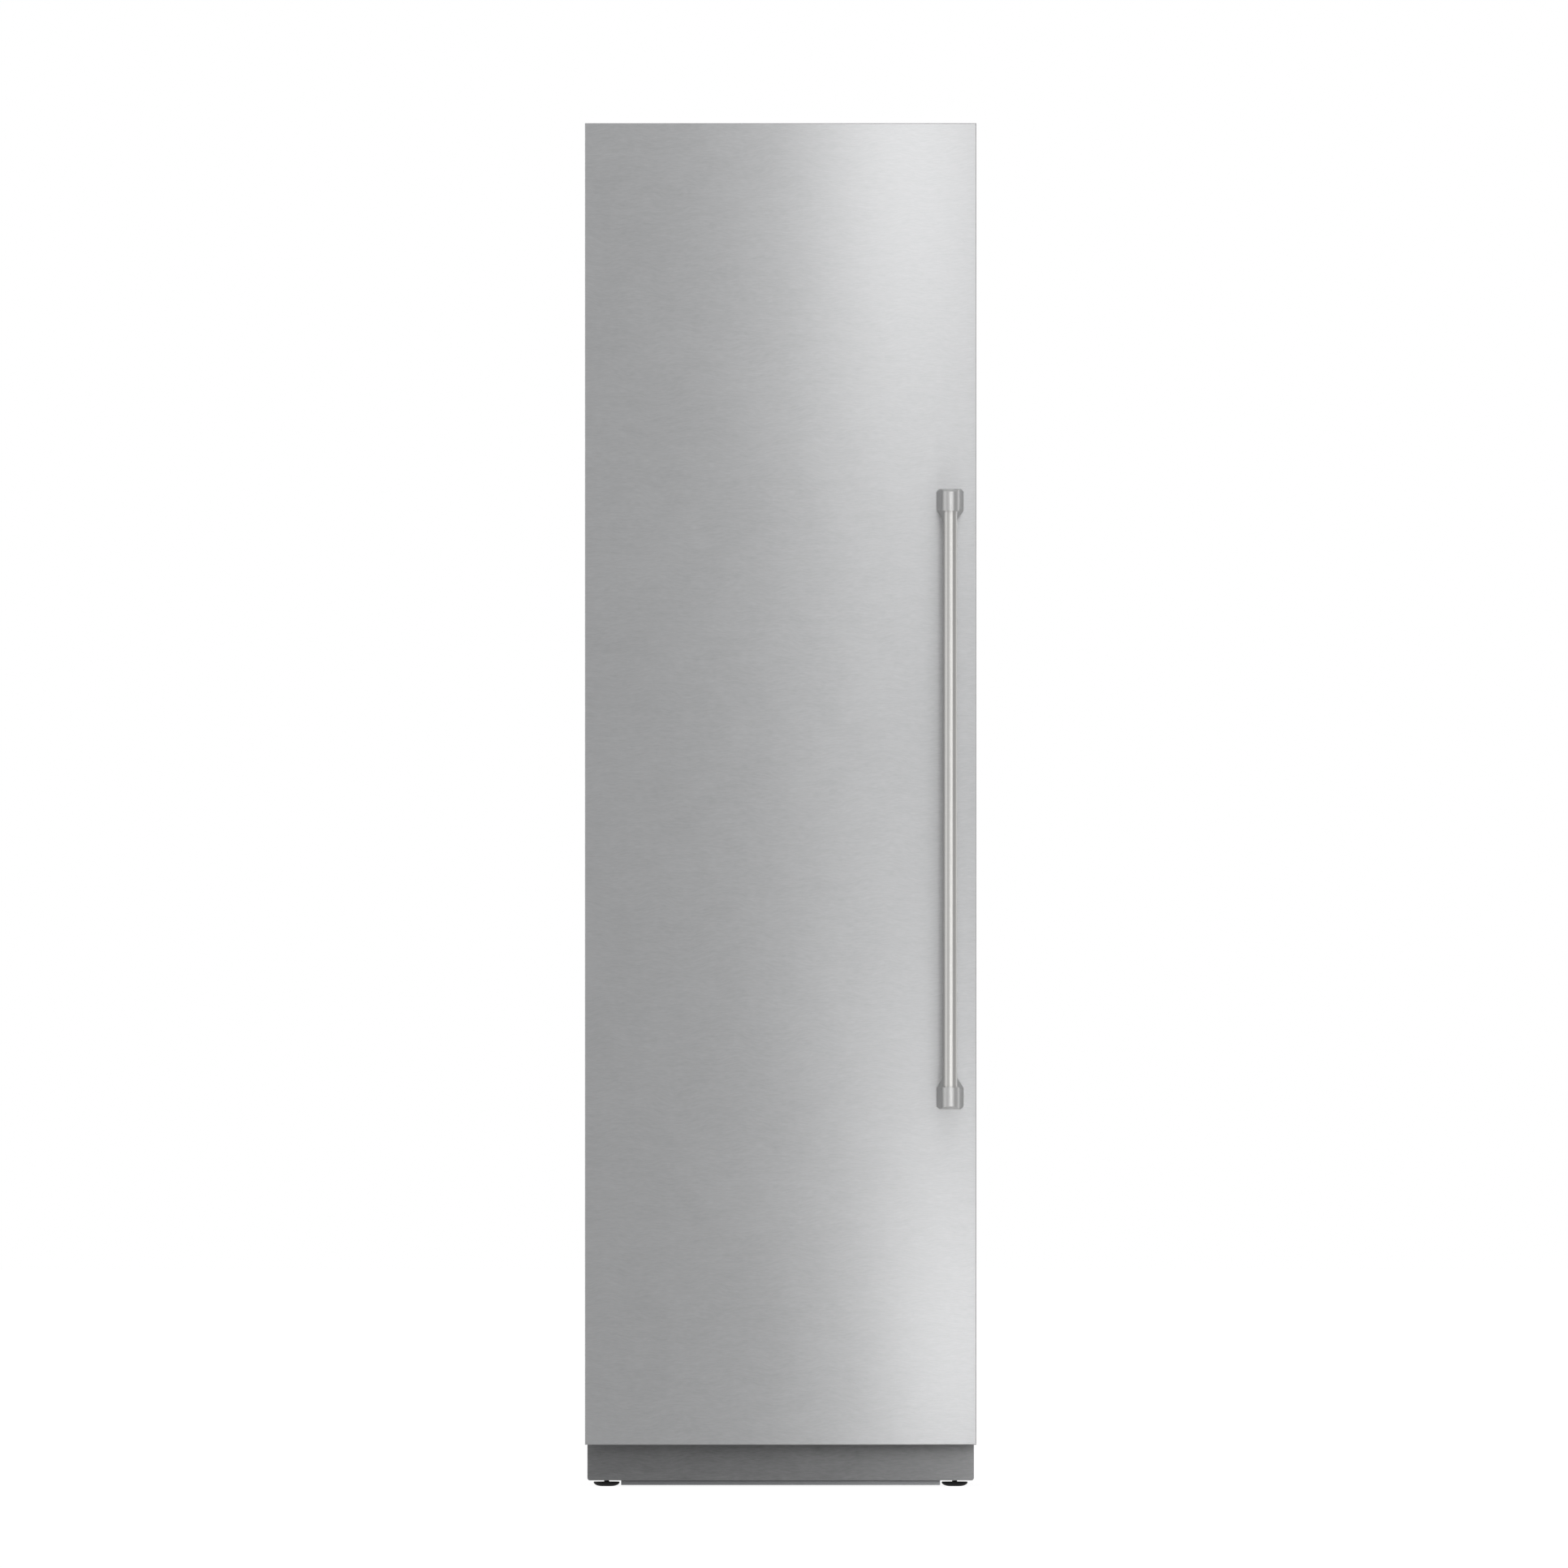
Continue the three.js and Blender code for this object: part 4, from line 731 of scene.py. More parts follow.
def buildBracket(name, node, outward):
    # a tapering post from the door, united with a collar that is bevelled at its outer end
    x, y, _ = middleOf(*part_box("handle_bar"))
    low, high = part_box(node)
    tip = high.z if outward > 0 else low.z
    base, neck = (
        [(x + a / 1000, tip + outward * b / 1000) for a, b in handle[outline]] for outline in ("base", "neck")
    )
    selectOnly()
    bpy.ops.mesh.primitive_circle_add(vertices=len(base), fill_type="NGON")
    post = named(name)
    editAll(post)
    extrudeBy(0, 0, 1)
    # the circle's points go to the post's foot, and the extruded ones to its neck
    mesh = bmesh.from_edit_mesh(post.data)
    lower = [vert for vert in mesh.verts if vert.co.z < 0.5]
    ends = [[edge.other_vert(vert) for edge in vert.link_edges] for vert in lower]
    for i, (first, others) in enumerate(zip(lower, ends)):
        second = next(vert for vert in others if vert not in lower)
        first.co = (base[i][0], high.y, base[i][1])
        second.co = (neck[i][0], y, neck[i][1])
    bmesh.update_edit_mesh(post.data)
    bpy.ops.mesh.select_all(action="SELECT")
    bpy.ops.mesh.quads_convert_to_tris()
    bpy.ops.mesh.normals_make_consistent(inside=False)
    endEdit()

    radius, reach, sides = handle["collarRadius"], handle["collarLength"], handle["sides"]
    inner = tip - outward * reach
    collar = addRod(name + "_collar", (x, y, inner), (x, y, tip), radius, sides)
    bottom, top = sorted((0, outward * reach))
    wedge = addBlock("wedge", (-reach, -reach, bottom), (reach, reach, top))
    changed(collar, moved(wedge, (x, y, tip), (outward * math.atan(handle["bevelDrop"] / radius), 0, 0)))
    changed(post, collar, "UNION")
    depth = outward * handle["boreDepth"]
    changed(post, addRod("bore", (x, y, inner - depth), (x, y, inner + depth), handle["boreRadius"], sides))
    rounded(post, handle["edgeRadius"])
    finishPiece(post, "brushed_steel", node, look="bracket_steel")


gasket = {
    "radius": 0.0005,
    "profile": [  # inset from the outer edge, and distance from the door, in millimetres
        (2.5, 0), (13.5, 0), (13.5, 2.2), (12, 3.2), (12, 4.2), (15.2, 5.6), (15.8, 7), (15.8, 10.4),
        (14.8, 11.4), (1.2, 11.4), (0.2, 10.4), (0.2, 7), (0.8, 5.6), (4, 4.2), (4, 3.2), (2.5, 2.2),
    ],
}


def buildGasket():
    # a hollow bellows with a magnet pad that faces the cabinet's frame
    low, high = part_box("door_gasket")
    loops = []
    for inset, out in gasket["profile"]:
        a, b = inset / 1000, out / 1000
        loops.append((high.x - a, low.z + a, high.z - a, low.y + b))
    bellows = rounded(addFrame("door_gasket_bellows", loops), gasket["radius"])
    finishPiece(bellows, "gasket_rubber", "door_gasket")


innerDoor = {
    "sheet": 0.003,
    "binGap": 0.0003,  # between the raised ring and the bins
    "ribWidth": 0.017,
    "draft": 0.0025,
    "ribRadius": 0.005,
    "rimRadius": 0.0012,
}


def buildDoorLiner():
    # a moulded sheet with a raised ring that keeps the bins between its sides
    low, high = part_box("door_inner_liner")
    cavityLow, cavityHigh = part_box("inner_liner")
    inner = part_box("door_bin_1")[1].x + innerDoor["binGap"]
    width, lean = innerDoor["ribWidth"], innerDoor["draft"]
    outer = inner + width
    inset = cavityHigh.x - outer
    zLow, zHigh = cavityLow.z + inset, cavityHigh.z - inset
    sheetY = low.y + innerDoor["sheet"]
    loops = [
        (high.x, low.z, high.z, low.y),
        (high.x, low.z, high.z, sheetY),
        (outer, zLow, zHigh, sheetY),
        (outer - lean, zLow + lean, zHigh - lean, high.y),
        (inner + lean, zLow + width - lean, zHigh - width + lean, high.y),
        (inner, zLow + width, zHigh - width, sheetY),
    ]
    sheet = addFrame("door_liner_moulded", loops, capped=True)
    bevelWhere(sheet, lambda edge, ends: min(e.y for e in ends) > high.y - near, innerDoor["ribRadius"])
    rounded(sheet, innerDoor["rimRadius"])
    finishPiece(sheet, "white_plastic", "door_inner_liner")


doorBins = {
    "wall": 0.0028,
    "corner": 0.010,
    "drop": 0.03,  # how far the front's top is cut down
    "trimHeight": 0.011,
    "trimDepth": 0.0035,
    "trimSunk": 0.0005,
    "trimRadius": 0.0012,
}
binTub = {
    "wall": 0.003,
    "corner": 0.012,
    "footShare": 0.45,  # radius of the lower edges, as a share of the corners'
    "rimRadius": 0.0008,
    "sideGap": 0.008,  # the freezer bins' runners reach this far out
    "runnerDrop": 0.034,
    "runnerHeight": 0.004,
    "runnerFront": 0.034,
    "runnerBack": 0.012,
    "facingInset": 0.016,
    "facingHeight": 0.046,
    "facingStand": 0.0025,
    "facingSunk": 0.0002,
    "facingRadius": 0.0009,
}


def openBin(name, low, high, wall, corner, drop=0.0):
    # a block with its top taken off, its corners rounded and its walls thickened inwards
    made = addBlock(name, low, high)
    pick(made, "FACE", lambda face, ends: face.normal.z > 0.9)
    bpy.ops.mesh.delete(type="FACE")
    endEdit()
    bevelWhere(made, runsAlong("Z"), corner, 6)
    bevelWhere(made, lambda edge, ends: max(e.z for e in ends) < low[2] + near, corner * binTub["footShare"])
    if drop:
        editAll(made)
        bpy.ops.mesh.bisect(plane_co=(0, high[1] - drop, high[2]), plane_no=(0, 1, 1), clear_outer=True)
        endEdit()
    return applied(made, "SOLIDIFY", thickness=wall, offset=-1, use_even_offset=True)


def buildDoorBins():
    low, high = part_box("door_bin_1")
    first = openBin("door_bin_tub_1", low, high, doorBins["wall"], doorBins["corner"], doorBins["drop"])
    rounded(first, binTub["rimRadius"])
    frontTop = high.z - doorBins["drop"]
    trim = addBlock(
        "door_bin_trim_1",
        (low.x + doorBins["corner"], high.y - doorBins["trimSunk"], frontTop - doorBins["trimHeight"]),
        (high.x - doorBins["corner"], high.y + doorBins["trimDepth"], frontTop),
    )
    rounded(trim, doorBins["trimRadius"], 3)
    for i in range(1, 5):
        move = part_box(f"door_bin_{i}")[0] - low
        tub = first if i == 1 else moved(duplicated(first, f"door_bin_tub_{i}"), move)
        rail = trim if i == 1 else moved(duplicated(trim, f"door_bin_trim_{i}"), move)
        finishPiece(tub, "clear_plastic", f"door_bin_{i}")
        finishPiece(rail, "aluminium", body="door")


def buildDoor():
    buildDoorSkin()
    buildHandleBar()
    buildBracket("handle_bracket_upper", "handle_bracket_top", 1)
    buildBracket("handle_bracket_lower", "handle_bracket_bottom", -1)
    core = rounded(copyOf("door_core", "door_core_shell"), doorSkin["coreRadius"])
    finishPiece(core, "door_shell", "door_core")
    buildGasket()
    buildDoorLiner()
    buildDoorBins()
    print("door built")


buildDoor()

sheets = {  # the CAD nodes whose folded or moulded edges only need rounding, with the radius, by slot
    "grey_paint": {
        "left_side_panel": 0.0004, "right_side_panel": 0.0004, "top_panel": 0.0004, "back_panel": 0.0004,
    },
    "zinc_steel": {
        "machine_divider": 0.0004, "top_hinge_bracket": 0.0005, "bottom_hinge_bracket": 0.0005,
        "door_hinge_leaf_top": 0.0004, "door_hinge_leaf_bottom": 0.0004, "base_tray": 0.0003,
        "base_frame": 0.0004, "machine_rear_cover": 0.0004,
    },
    "white_plastic": {
        "front_frame": 0.0008, "inner_liner": 0.0012, "left_bin_frame": 0.0015, "right_bin_frame": 0.0015,
        "evaporator_cover": 0.0007, "ice_maker": 0.0015,
    },
    # the toe kick takes the darker steel, partly painted shade of the door's overhang
    "kick_steel": {"toe_kick": 0.0006},
    "dark_plastic": {
        "condenser_fan_shroud": 0.0005, "drain_pan": 0.0006, "power_inlet": 0.0006, "water_valve": 0.0006,
    },
}
screw = {
    "radius": 0.0042,
    "height": 0.0009,
    "head": [(0, 0), (1, 0), (1, 0.4), (0.8, 0.85), (0.5, 1), (0, 1)],  # shares of the radius and the height
    "recessFloor": 0.4,  # share of the height
    "sunk": 0.0003,  # into the dimple's floor
    "recessLength": 0.0023,  # half of each arm of the cross
    "recessWidth": 0.0004,
    "dimple": 0.0052,
    "dimpleDepth": 0.0006,
    "inset": 0.009,
    "rows": 7,
}
sheetScrews = {  # side and share of the height of the screws in each sheet of the back
    "back_panel": [(side, row / (screw["rows"] - 1)) for side in (-1, 1) for row in range(screw["rows"])],
    "machine_rear_cover": [(side, row) for side in (-1, 0, 1) for row in (0, 1)],
}


def screwSpots(node):
    low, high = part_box(node)
    inset = screw["inset"]
    wide, bottom, tall = high.x - inset, low.z + inset, high.z - low.z - 2 * inset
    return [(side * wide, high.y, bottom + share * tall) for side, share in sheetScrews[node]]


def roundSheets():
    depth = screw["dimpleDepth"]
    for slot, members in sheets.items():
        for node, radius in members.items():
            piece = copyOf(node, node + "_rounded")
            if node in sheetScrews:
                dimples = [
                    addRod("dimple", (x, y - depth, z), (x, y + clear, z), screw["dimple"], 24)
                    for x, y, z in screwSpots(node)
                ]
                changed(piece, joined("dimples", dimples))
            # the base tray takes the darker copy of its zinc finish, painted shade under the toe kick
            look = "shaded_tray_steel" if node == "base_tray" else slot
            finishPiece(rounded(piece, radius), slot, node, look=look)


foot = {
    "contact": 0.007,  # radius of the flat that stands on the floor
    "rim": 0.001,
    "rimRadius": 0.0006,
    "domeSteps": 14,
    "neckRadius": 0.0042,
    "neckHeight": 0.0019,
    "neckTaper": 0.0007,
    "threadPitch": 0.0015,
    "threadDepth": 0.0005,
    "crest": (0.45, 0.55),  # where in each pitch the thread's crest lies
}


def buildFoot(side):
    # a rubber-shod pad with a domed underside, and the threaded stud that it hangs on
    low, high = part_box(side + "_foot_pad")
    x, y, _ = middleOf(low, high)
    radius = (high.x - low.x) / 2
    profile = [(0, low.z)]
    for step in range(foot["domeSteps"] + 1):
        angle = quarter * step / foot["domeSteps"]
        out = foot["contact"] + (radius - foot["contact"]) * math.sin(angle)
        profile.append((out, low.z + (high.z - foot["rim"] - low.z) * (1 - math.cos(angle))))
    edge, neck, top = foot["rimRadius"], foot["neckRadius"], high.z + foot["neckHeight"]
    profile += [(radius, high.z - edge), (radius - edge, high.z), (neck, high.z)]
    profile += [(neck - foot["neckTaper"], top), (0, top)]
    pad = smoothed(addTurned(side + "_foot_disc", profile, (x, y, 0), steps=72), 40)
    finishPiece(pad, "black_rubber", side + "_foot_pad")

    low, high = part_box(side + "_foot_stud")
    outer, pitch = (high.x - low.x) / 2, foot["threadPitch"]
    inner = outer - foot["threadDepth"]
    start = pad.bound_box[6][2]
    turnCount = int((high.z - start) / pitch)
    profile = [(0, start), (inner, start)]
    for turn in range(turnCount):
        at = start + turn * pitch
        profile += [(outer, at + pitch * share) for share in foot["crest"]] + [(inner, at + pitch)]
    profile.append((0, start + turnCount * pitch))
    stud = smoothed(addTurned(side + "_foot_thread", profile, (x, y, 0), steps=24), 30)
    finishPiece(stud, "zinc_steel", side + "_foot_stud")


wheel = {
    "bore": 0.0033,
    "hubRadius": 0.0075,
    "webInset": 0.0022,
    "rimWall": 0.0028,
    "rimStep": 0.0004,
    "edge": 0.0015,
    "grooves": 3,
    "grooveDepth": 0.0005,
    "grooveHalf": (0.0007, 0.0004),  # half its width at the tread and at its floor
}


def buildRoller(side):
    # a tyre with shallow grooves on a dished wheel, bored for its axle
    low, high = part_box(side + "_roller_wheel")
    half, radius = (high.x - low.x) / 2, (high.z - low.z) / 2
    bore, hub, edge, lip = wheel["bore"], wheel["hubRadius"], wheel["edge"], half - wheel["rimStep"]
    rim, web, sunk = radius - wheel["rimWall"], half - wheel["webInset"], radius - wheel["grooveDepth"]
    wide, narrow = wheel["grooveHalf"]
    profile = [(bore, -half), (hub, -half), (hub, -web), (rim, -web), (rim, -lip), (radius - edge, -half)]
    profile.append((radius, edge - half))
    step = 2 * (half - 2 * edge) / wheel["grooves"]
    for groove in range(wheel["grooves"]):
        at = 2 * edge - half + step * (groove + 0.5)
        profile += [(radius, at - wide), (sunk, at - narrow), (sunk, at + narrow), (radius, at + wide)]
    profile += [(radius, half - edge), (radius - edge, half), (rim, lip), (rim, web), (hub, web)]
    profile += [(hub, half), (bore, half), (bore, -half)]
    tyre = smoothed(addTurned(side + "_roller_tyre", profile, middleOf(low, high), "X"))
    finishPiece(tyre, "dark_plastic", side + "_roller_wheel")


def addSheetScrews():
    # pan heads with a cross recess, standing in the sheets' dimples
    tall, long, thin = screw["height"], screw["recessLength"], screw["recessWidth"]
    profile = [(screw["radius"] * out, tall * up) for out, up in screw["head"]]
    heads = []
    for node in sheetScrews:
        for x, y, z in screwSpots(node):
            base = y - screw["dimpleDepth"] - screw["sunk"]
            head = addTurned("head", profile, (x, base, z), "Y", 24)
            floor = base + tall * screw["recessFloor"]
            for half, up in ((long, thin), (thin, long)):
                cut = addBlock("recess", (x - half, floor, z - up), (x + half, base + tall + clear, z + up))
                changed(head, cut)
            heads.append(smoothed(head, 40))
    finishPiece(joined("back_sheet_screws", heads), "zinc_steel")


def buildCabinet():
    roundSheets()
    for side in ("left", "right"):
        buildFoot(side)
        buildRoller(side)
    addSheetScrews()
    print("cabinet and base built")


buildCabinet()

shelf = {
    "frontHeight": 0.013,
    "frontDepth": 0.011,
    "frontInset": 0.0125,
    "frontRadius": 0.00064,
    "lip": 0.0015,  # how far the front stands over the glass
    "paneInset": 0.002,
    "groove": 0.0018,
    "glassRadius": 0.0009,
}


def buildShelf(i):
    low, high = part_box(f"glass_shelf_{i}")
    pane = addBlock(f"shelf_pane_{i}", (low.x, low.y + shelf["paneInset"], low.z), high)
    finishPiece(rounded(pane, shelf["glassRadius"]), "shelf_glass", f"glass_shelf_{i}")
    top, inset = high.z + shelf["lip"], shelf["frontInset"]
    front = addBlock(
        f"shelf_front_{i}", (low.x + inset, low.y, top - shelf["frontHeight"]),
        (high.x - inset, low.y + shelf["frontDepth"], top),
    )
    changed(front, addBlock("groove", (-high.x, low.y + shelf["groove"], low.z), high))
    finishPiece(rounded(front, shelf["frontRadius"]), "aluminium")


grip = {
    "half": 0.06,
    "iceHalf": 0.045,
    "drop": 0.012,
    "iceDrop": 0.014,
    "height": 0.018,
    "radius": 0.007,
    "reach": (0.01, 0.02),  # how far the cutter starts before the front, and ends behind it
}


def cutGrip(piece, middle, half, frontY, top):
    # a hand slot with round ends, cut through a bin's front
    before, behind = grip["reach"]
    low = (middle - half, frontY - before, top - grip["height"])
    slot = addBlock("grip", low, (middle + half, frontY + behind, top))
    return changed(piece, bevelWhere(slot, runsAlong("Y"), grip["radius"], 6))


def buildFreezerBin(i):
    node = f"freezer_bin_{i}"
    low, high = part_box(node)
    half, top = high.x - binTub["sideGap"], high.z - grip["drop"]
    tub = openBin(
        f"freezer_tub_{i}", (-half, low.y, low.z), (half, high.y, high.z), binTub["wall"], binTub["corner"]
    )
    cutGrip(tub, 0, grip["half"], low.y, top)
    runnerZ = high.z - binTub["runnerDrop"]
    for side in (-1, 1):
        inner, outer = sorted((side * (half - binTub["wall"] / 2), side * high.x))
        changed(tub, addBlock(
            "runner", (inner, low.y + binTub["runnerFront"], runnerZ - binTub["runnerHeight"]),
            (outer, high.y - binTub["runnerBack"], runnerZ),
        ), "UNION")
    finishPiece(rounded(tub, binTub["rimRadius"]), "clear_plastic", node)
    # the front is faced with a white moulded strip that carries the grip's lip
    inset = binTub["facingInset"]
    facing = addBlock(
        f"freezer_bin_facing_{i}",
        (inset - half, low.y - binTub["facingStand"], high.z - binTub["facingHeight"]),
        (half - inset, low.y + binTub["facingSunk"], high.z),
    )
    cutGrip(facing, 0, grip["half"], low.y, top)
    finishPiece(rounded(facing, binTub["facingRadius"], 3), "white_plastic", body=bodyOf[node])


def buildIceBin():
    low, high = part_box("ice_bin")
    tub = openBin("ice_tub", low, high, binTub["wall"], binTub["corner"])
    cutGrip(tub, (low.x + high.x) / 2, grip["iceHalf"], low.y, high.z - grip["iceDrop"])
    finishPiece(rounded(tub, binTub["rimRadius"]), "clear_plastic", "ice_bin")


def shaftOf(joint):
    # a point on the axis that a joint turns about
    return Vector(next(row["pos_m"] for row in frame["joints"] if row["name"] == joint))


grille = {"rings": 4, "wire": 0.0011, "spokes": 6, "reach": 0.053, "stand": 0.0012}


def buildColdGuard():
    # a wire guard over the fan's opening in the evaporator cover
    x, _, z = shaftOf("evaporator_fan_spin")
    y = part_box("evaporator_cover")[0].y + grille["stand"]
    reach, wire = grille["reach"], grille["wire"]
    parts = []
    for ring in range(grille["rings"]):
        selectOnly()
        bpy.ops.mesh.primitive_torus_add(
            major_radius=reach * (ring + 1) / grille["rings"], minor_radius=wire, major_segments=56,
            minor_segments=8, location=(x, y, z), rotation=(quarter, 0, 0),
        )
        parts.append(named("guard_ring"))
    for spoke in range(grille["spokes"]):
        angle = math.pi * spoke / grille["spokes"]
        dx, dz = reach * math.cos(angle), reach * math.sin(angle)
        parts.append(addRod("guard_spoke", (x - dx, y, z - dz), (x + dx, y, z + dz), wire, 8))
    finishPiece(smoothed(joined("evaporator_fan_guard", parts), 60), "white_plastic")


fans = {  # axis, radius of the hub, and the blades' pitch in degrees
    "evaporator_fan": ("Y", 0.012, 24),
    "condenser_fan": ("X", 0.015, 26),
}
blade = {
    "count": 5,
    "chordShare": 1.4375,  # of the chord that would close the circle
    "depthShare": 0.88,
    "rootShare": 0.6,  # of the hub's radius, where the blade starts
    "overreach": 1.05,  # past the circle that trims it
    "twist": 14,
    "sheet": 0.0013,
    "trimGap": 0.0003,
    "hubWall": 0.0015,
    "nose": [(0, 0), (0.55, 0), (0.86, 0.001), (1, 0.004)],  # share of the hub's radius, and height
    "floor": [(1, 0.005), (0, 0.004)],  # the same inside the hub
}


def buildFan(node):
    # a domed hub with broad twisted blades, trimmed to one circle
    axis, hub, pitch = fans[node]
    low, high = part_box(node)
    middle = shaftOf(node + "_spin")
    along = "XYZ".index(axis)
    middle[along] = (low[along] + high[along]) / 2
    depth = high[along] - low[along]
    half = depth / 2
    radius = max(max(abs(low[i] - middle[i]), abs(high[i] - middle[i])) for i in range(3) if i != along)
    chord = blade["chordShare"] * radius * math.sin(math.pi / blade["count"])
    root = hub * blade["rootShare"]
    length = radius * blade["overreach"] - root
    slant = math.radians(pitch)
    parts = []
    for i in range(blade["count"]):
        selectOnly()
        bpy.ops.mesh.primitive_grid_add(x_subdivisions=8, y_subdivisions=6, size=1)
        bpy.context.object.scale = (length, min(chord, depth * blade["depthShare"] / math.sin(slant)), 1)
        wing = named("blade")
        applied(
            wing, "SIMPLE_DEFORM", deform_method="TWIST", deform_axis="X", angle=math.radians(blade["twist"])
        )
        applied(wing, "SOLIDIFY", thickness=blade["sheet"], offset=0)
        moved(wing, (root + length / 2, 0, 0), (slant, 0, 0))
        parts.append(moved(wing, turn=(0, 0, 2 * math.pi * i / blade["count"])))
    name = node + "_wheel"
    wings = joined(name + "_blades", parts)
    reach = half - blade["trimGap"]
    changed(wings, addRod("trim", (0, 0, -reach), (0, 0, reach), radius, 96), "INTERSECT")
    inner = hub - blade["hubWall"]
    profile = [(hub * share, up - half) for share, up in blade["nose"]] + [(hub, half), (inner, half)]
    profile += [(inner * share, up - half) for share, up in blade["floor"]]
    cap = addTurned(name, profile, (0, 0, 0), steps=48)
    moved(changed(cap, wings, "UNION"), middle, turns[axis])
    finishPiece(smoothed(cap, 32), "dark_plastic", node)


coils = {
    "evaporator_coil": {
        "name": "evaporator_finned_coil", "slot": "aluminium", "fins": 58, "tube": 0.0048, "rows": 8,
        "bendRoom": 0.014, "lift": 0.0,
    },
    "condenser_coil": {
        "name": "condenser_finned_coil", "slot": "black_paint", "fins": 34, "tube": 0.0042, "rows": 6,
        "bendRoom": 0.0125, "lift": 0.036,  # this one stands on its two end plates
    },
}
coilSheet = {"fin": 0.0004, "end": 0.003, "columns": (0.27, 0.73), "bendShare": 0.98}


def buildCoil(node):
    # thin plates in a row, run through by tubes that double back at both ends
    coil, sheet = coils[node], coilSheet["fin"]
    low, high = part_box(node)
    room, tube, rows = coil["bendRoom"], coil["tube"], coil["rows"]
    x0, x1, base = low.x + room, high.x - room, low.z + coil["lift"]
    plate = addBlock(coil["name"] + "_fins", (x0, low.y, base), (x0 + sheet, high.y, high.z))
    applied(
        plate, "ARRAY", count=coil["fins"], use_relative_offset=False, use_constant_offset=True,
        constant_offset_displace=((x1 - x0 - sheet) / (coil["fins"] - 1), 0, 0),
    )
    parts = [plate]
    if coil["lift"]:
        for x in (x0 - coilSheet["end"] / 2, x1 - coilSheet["end"] / 2):
            parts.append(addBlock("end", (x, low.y, low.z), (x + coilSheet["end"], high.y, high.z)))
    step = (high.z - base) / rows
    for share in coilSheet["columns"]:
        y = low.y + (high.y - low.y) * share
        points = []
        for row in range(rows):
            z = base + step * (row + 0.5)
            pair = [(x0 - room + tube, y, z), (x1 + room - tube, y, z)]
            points += pair if row % 2 == 0 else pair[::-1]
        parts.append(addPipe("tube", points, tube, min(step / 2, room) * coilSheet["bendShare"], 5))
    finishPiece(joined(coil["name"], parts), coil["slot"], node)


coldMotor = {
    "length": 0.026,
    "shaft": 0.0025,
    "shaftChamfer": 0.0002,
    "boss": 0.008,
    "bossLength": 0.004,
    "bevel": (0.8, 0.004),  # the share of the radius where it starts, and its length
    "bandDepth": 0.001,
    "band": (0.011, 0.0115, 0.0135, 0.014),  # the edges and the floor of the sunk band, behind the front
}


def buildColdMotor():
    low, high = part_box("evaporator_fan_motor")
    x, _, z = middleOf(low, high)
    radius, boss, shaft = (high.x - low.x) / 2, coldMotor["boss"], coldMotor["shaft"]
    front, band = high.y - coldMotor["length"], radius - coldMotor["bandDepth"]
    step, chamfer = front - coldMotor["bossLength"], coldMotor["shaftChamfer"]
    share, bevel = coldMotor["bevel"]
    profile = [
        (0, low.y), (shaft - chamfer, low.y + chamfer), (shaft, step), (boss, step), (boss, front),
        (radius * share, front), (radius, front + bevel),
    ]
    profile += [(out, front + at) for out, at in zip((radius, band, band, radius), coldMotor["band"])]
    profile += [(radius, high.y), (0, high.y)]
    motor = smoothed(addTurned("evaporator_motor_can", profile, (x, 0, z), "Y", 56))
    finishPiece(motor, "dark_plastic", "evaporator_fan_motor")


controls = {
    "housingRadius": 0.0018,
    "slantMiddle": 0.006,  # of the slanted face, back and up from the housing's front and lower edges
    "slant": math.radians(45),
    "sunk": 0.0008,
    "rimRadius": 0.0003,
    "window": (0.1, 0.0068, 0.0008, 0.002),  # half width, half height, stand and corner radius
    "pad": (0.0052, 0.0042, 0.0014, 0.002),
    "light": (0.0011, 0.0011, 0.0012, 0.0006),
    "pads": [0.007 + i * 0.021 for i in range(5)],
    "lights": [-0.07, -0.058, -0.046],
    "lensRadius": 0.0016,  # of the ceiling light's edges
}


def buildControls():
    # a dark glass window, touch pads and lights on the slanted front of the ceiling housing
    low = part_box("control_panel")[0]
    housing = rounded(copyOf("control_panel", "control_housing"), controls["housingRadius"], 3)
    finishPiece(housing, "dark_plastic", "control_panel")

    def addOnSlant(name, kind, x, slot="dark_plastic", look=None):
        half, up, stand, radius = controls[kind]
        block = addBlock(name, (x - half, -stand, -up), (x + half, controls["sunk"], up))
        bevelWhere(block, runsAlong("Y", stand * 0.9), radius, 5)
        rounded(block, controls["rimRadius"])
        place = (0, low.y + controls["slantMiddle"], low.z + controls["slantMiddle"])
        finishPiece(moved(block, place, (controls["slant"], 0, 0)), slot, look=look)

    addOnSlant("control_window", "window", 0, look="display_glass")
    for i, x in enumerate(controls["pads"]):
        addOnSlant(f"control_pad_{i + 1}", "pad", x)
    for i, x in enumerate(controls["lights"]):
        addOnSlant(f"control_light_{i + 1}", "light", x, "clear_plastic", "indicator")


def buildCeilingLight():
    lens = rounded(copyOf("ceiling_light", "ceiling_light_lens"), controls["lensRadius"], 3)
    finishPiece(lens, "clear_plastic", "ceiling_light", look="lamp_lens")


iceArm = {
    "wire": 0.0016,
    "bend": 0.012,
    "drop": 0.004,
    "sideGap": 0.004,
    "inset": 0.03,
    "root": (0.02, 0.05, 0.03),  # from the ice maker's left, back and lower sides
    "fold": 0.07,  # from its back
    "end": (0.06, 0.01),  # from its back and lower sides
}


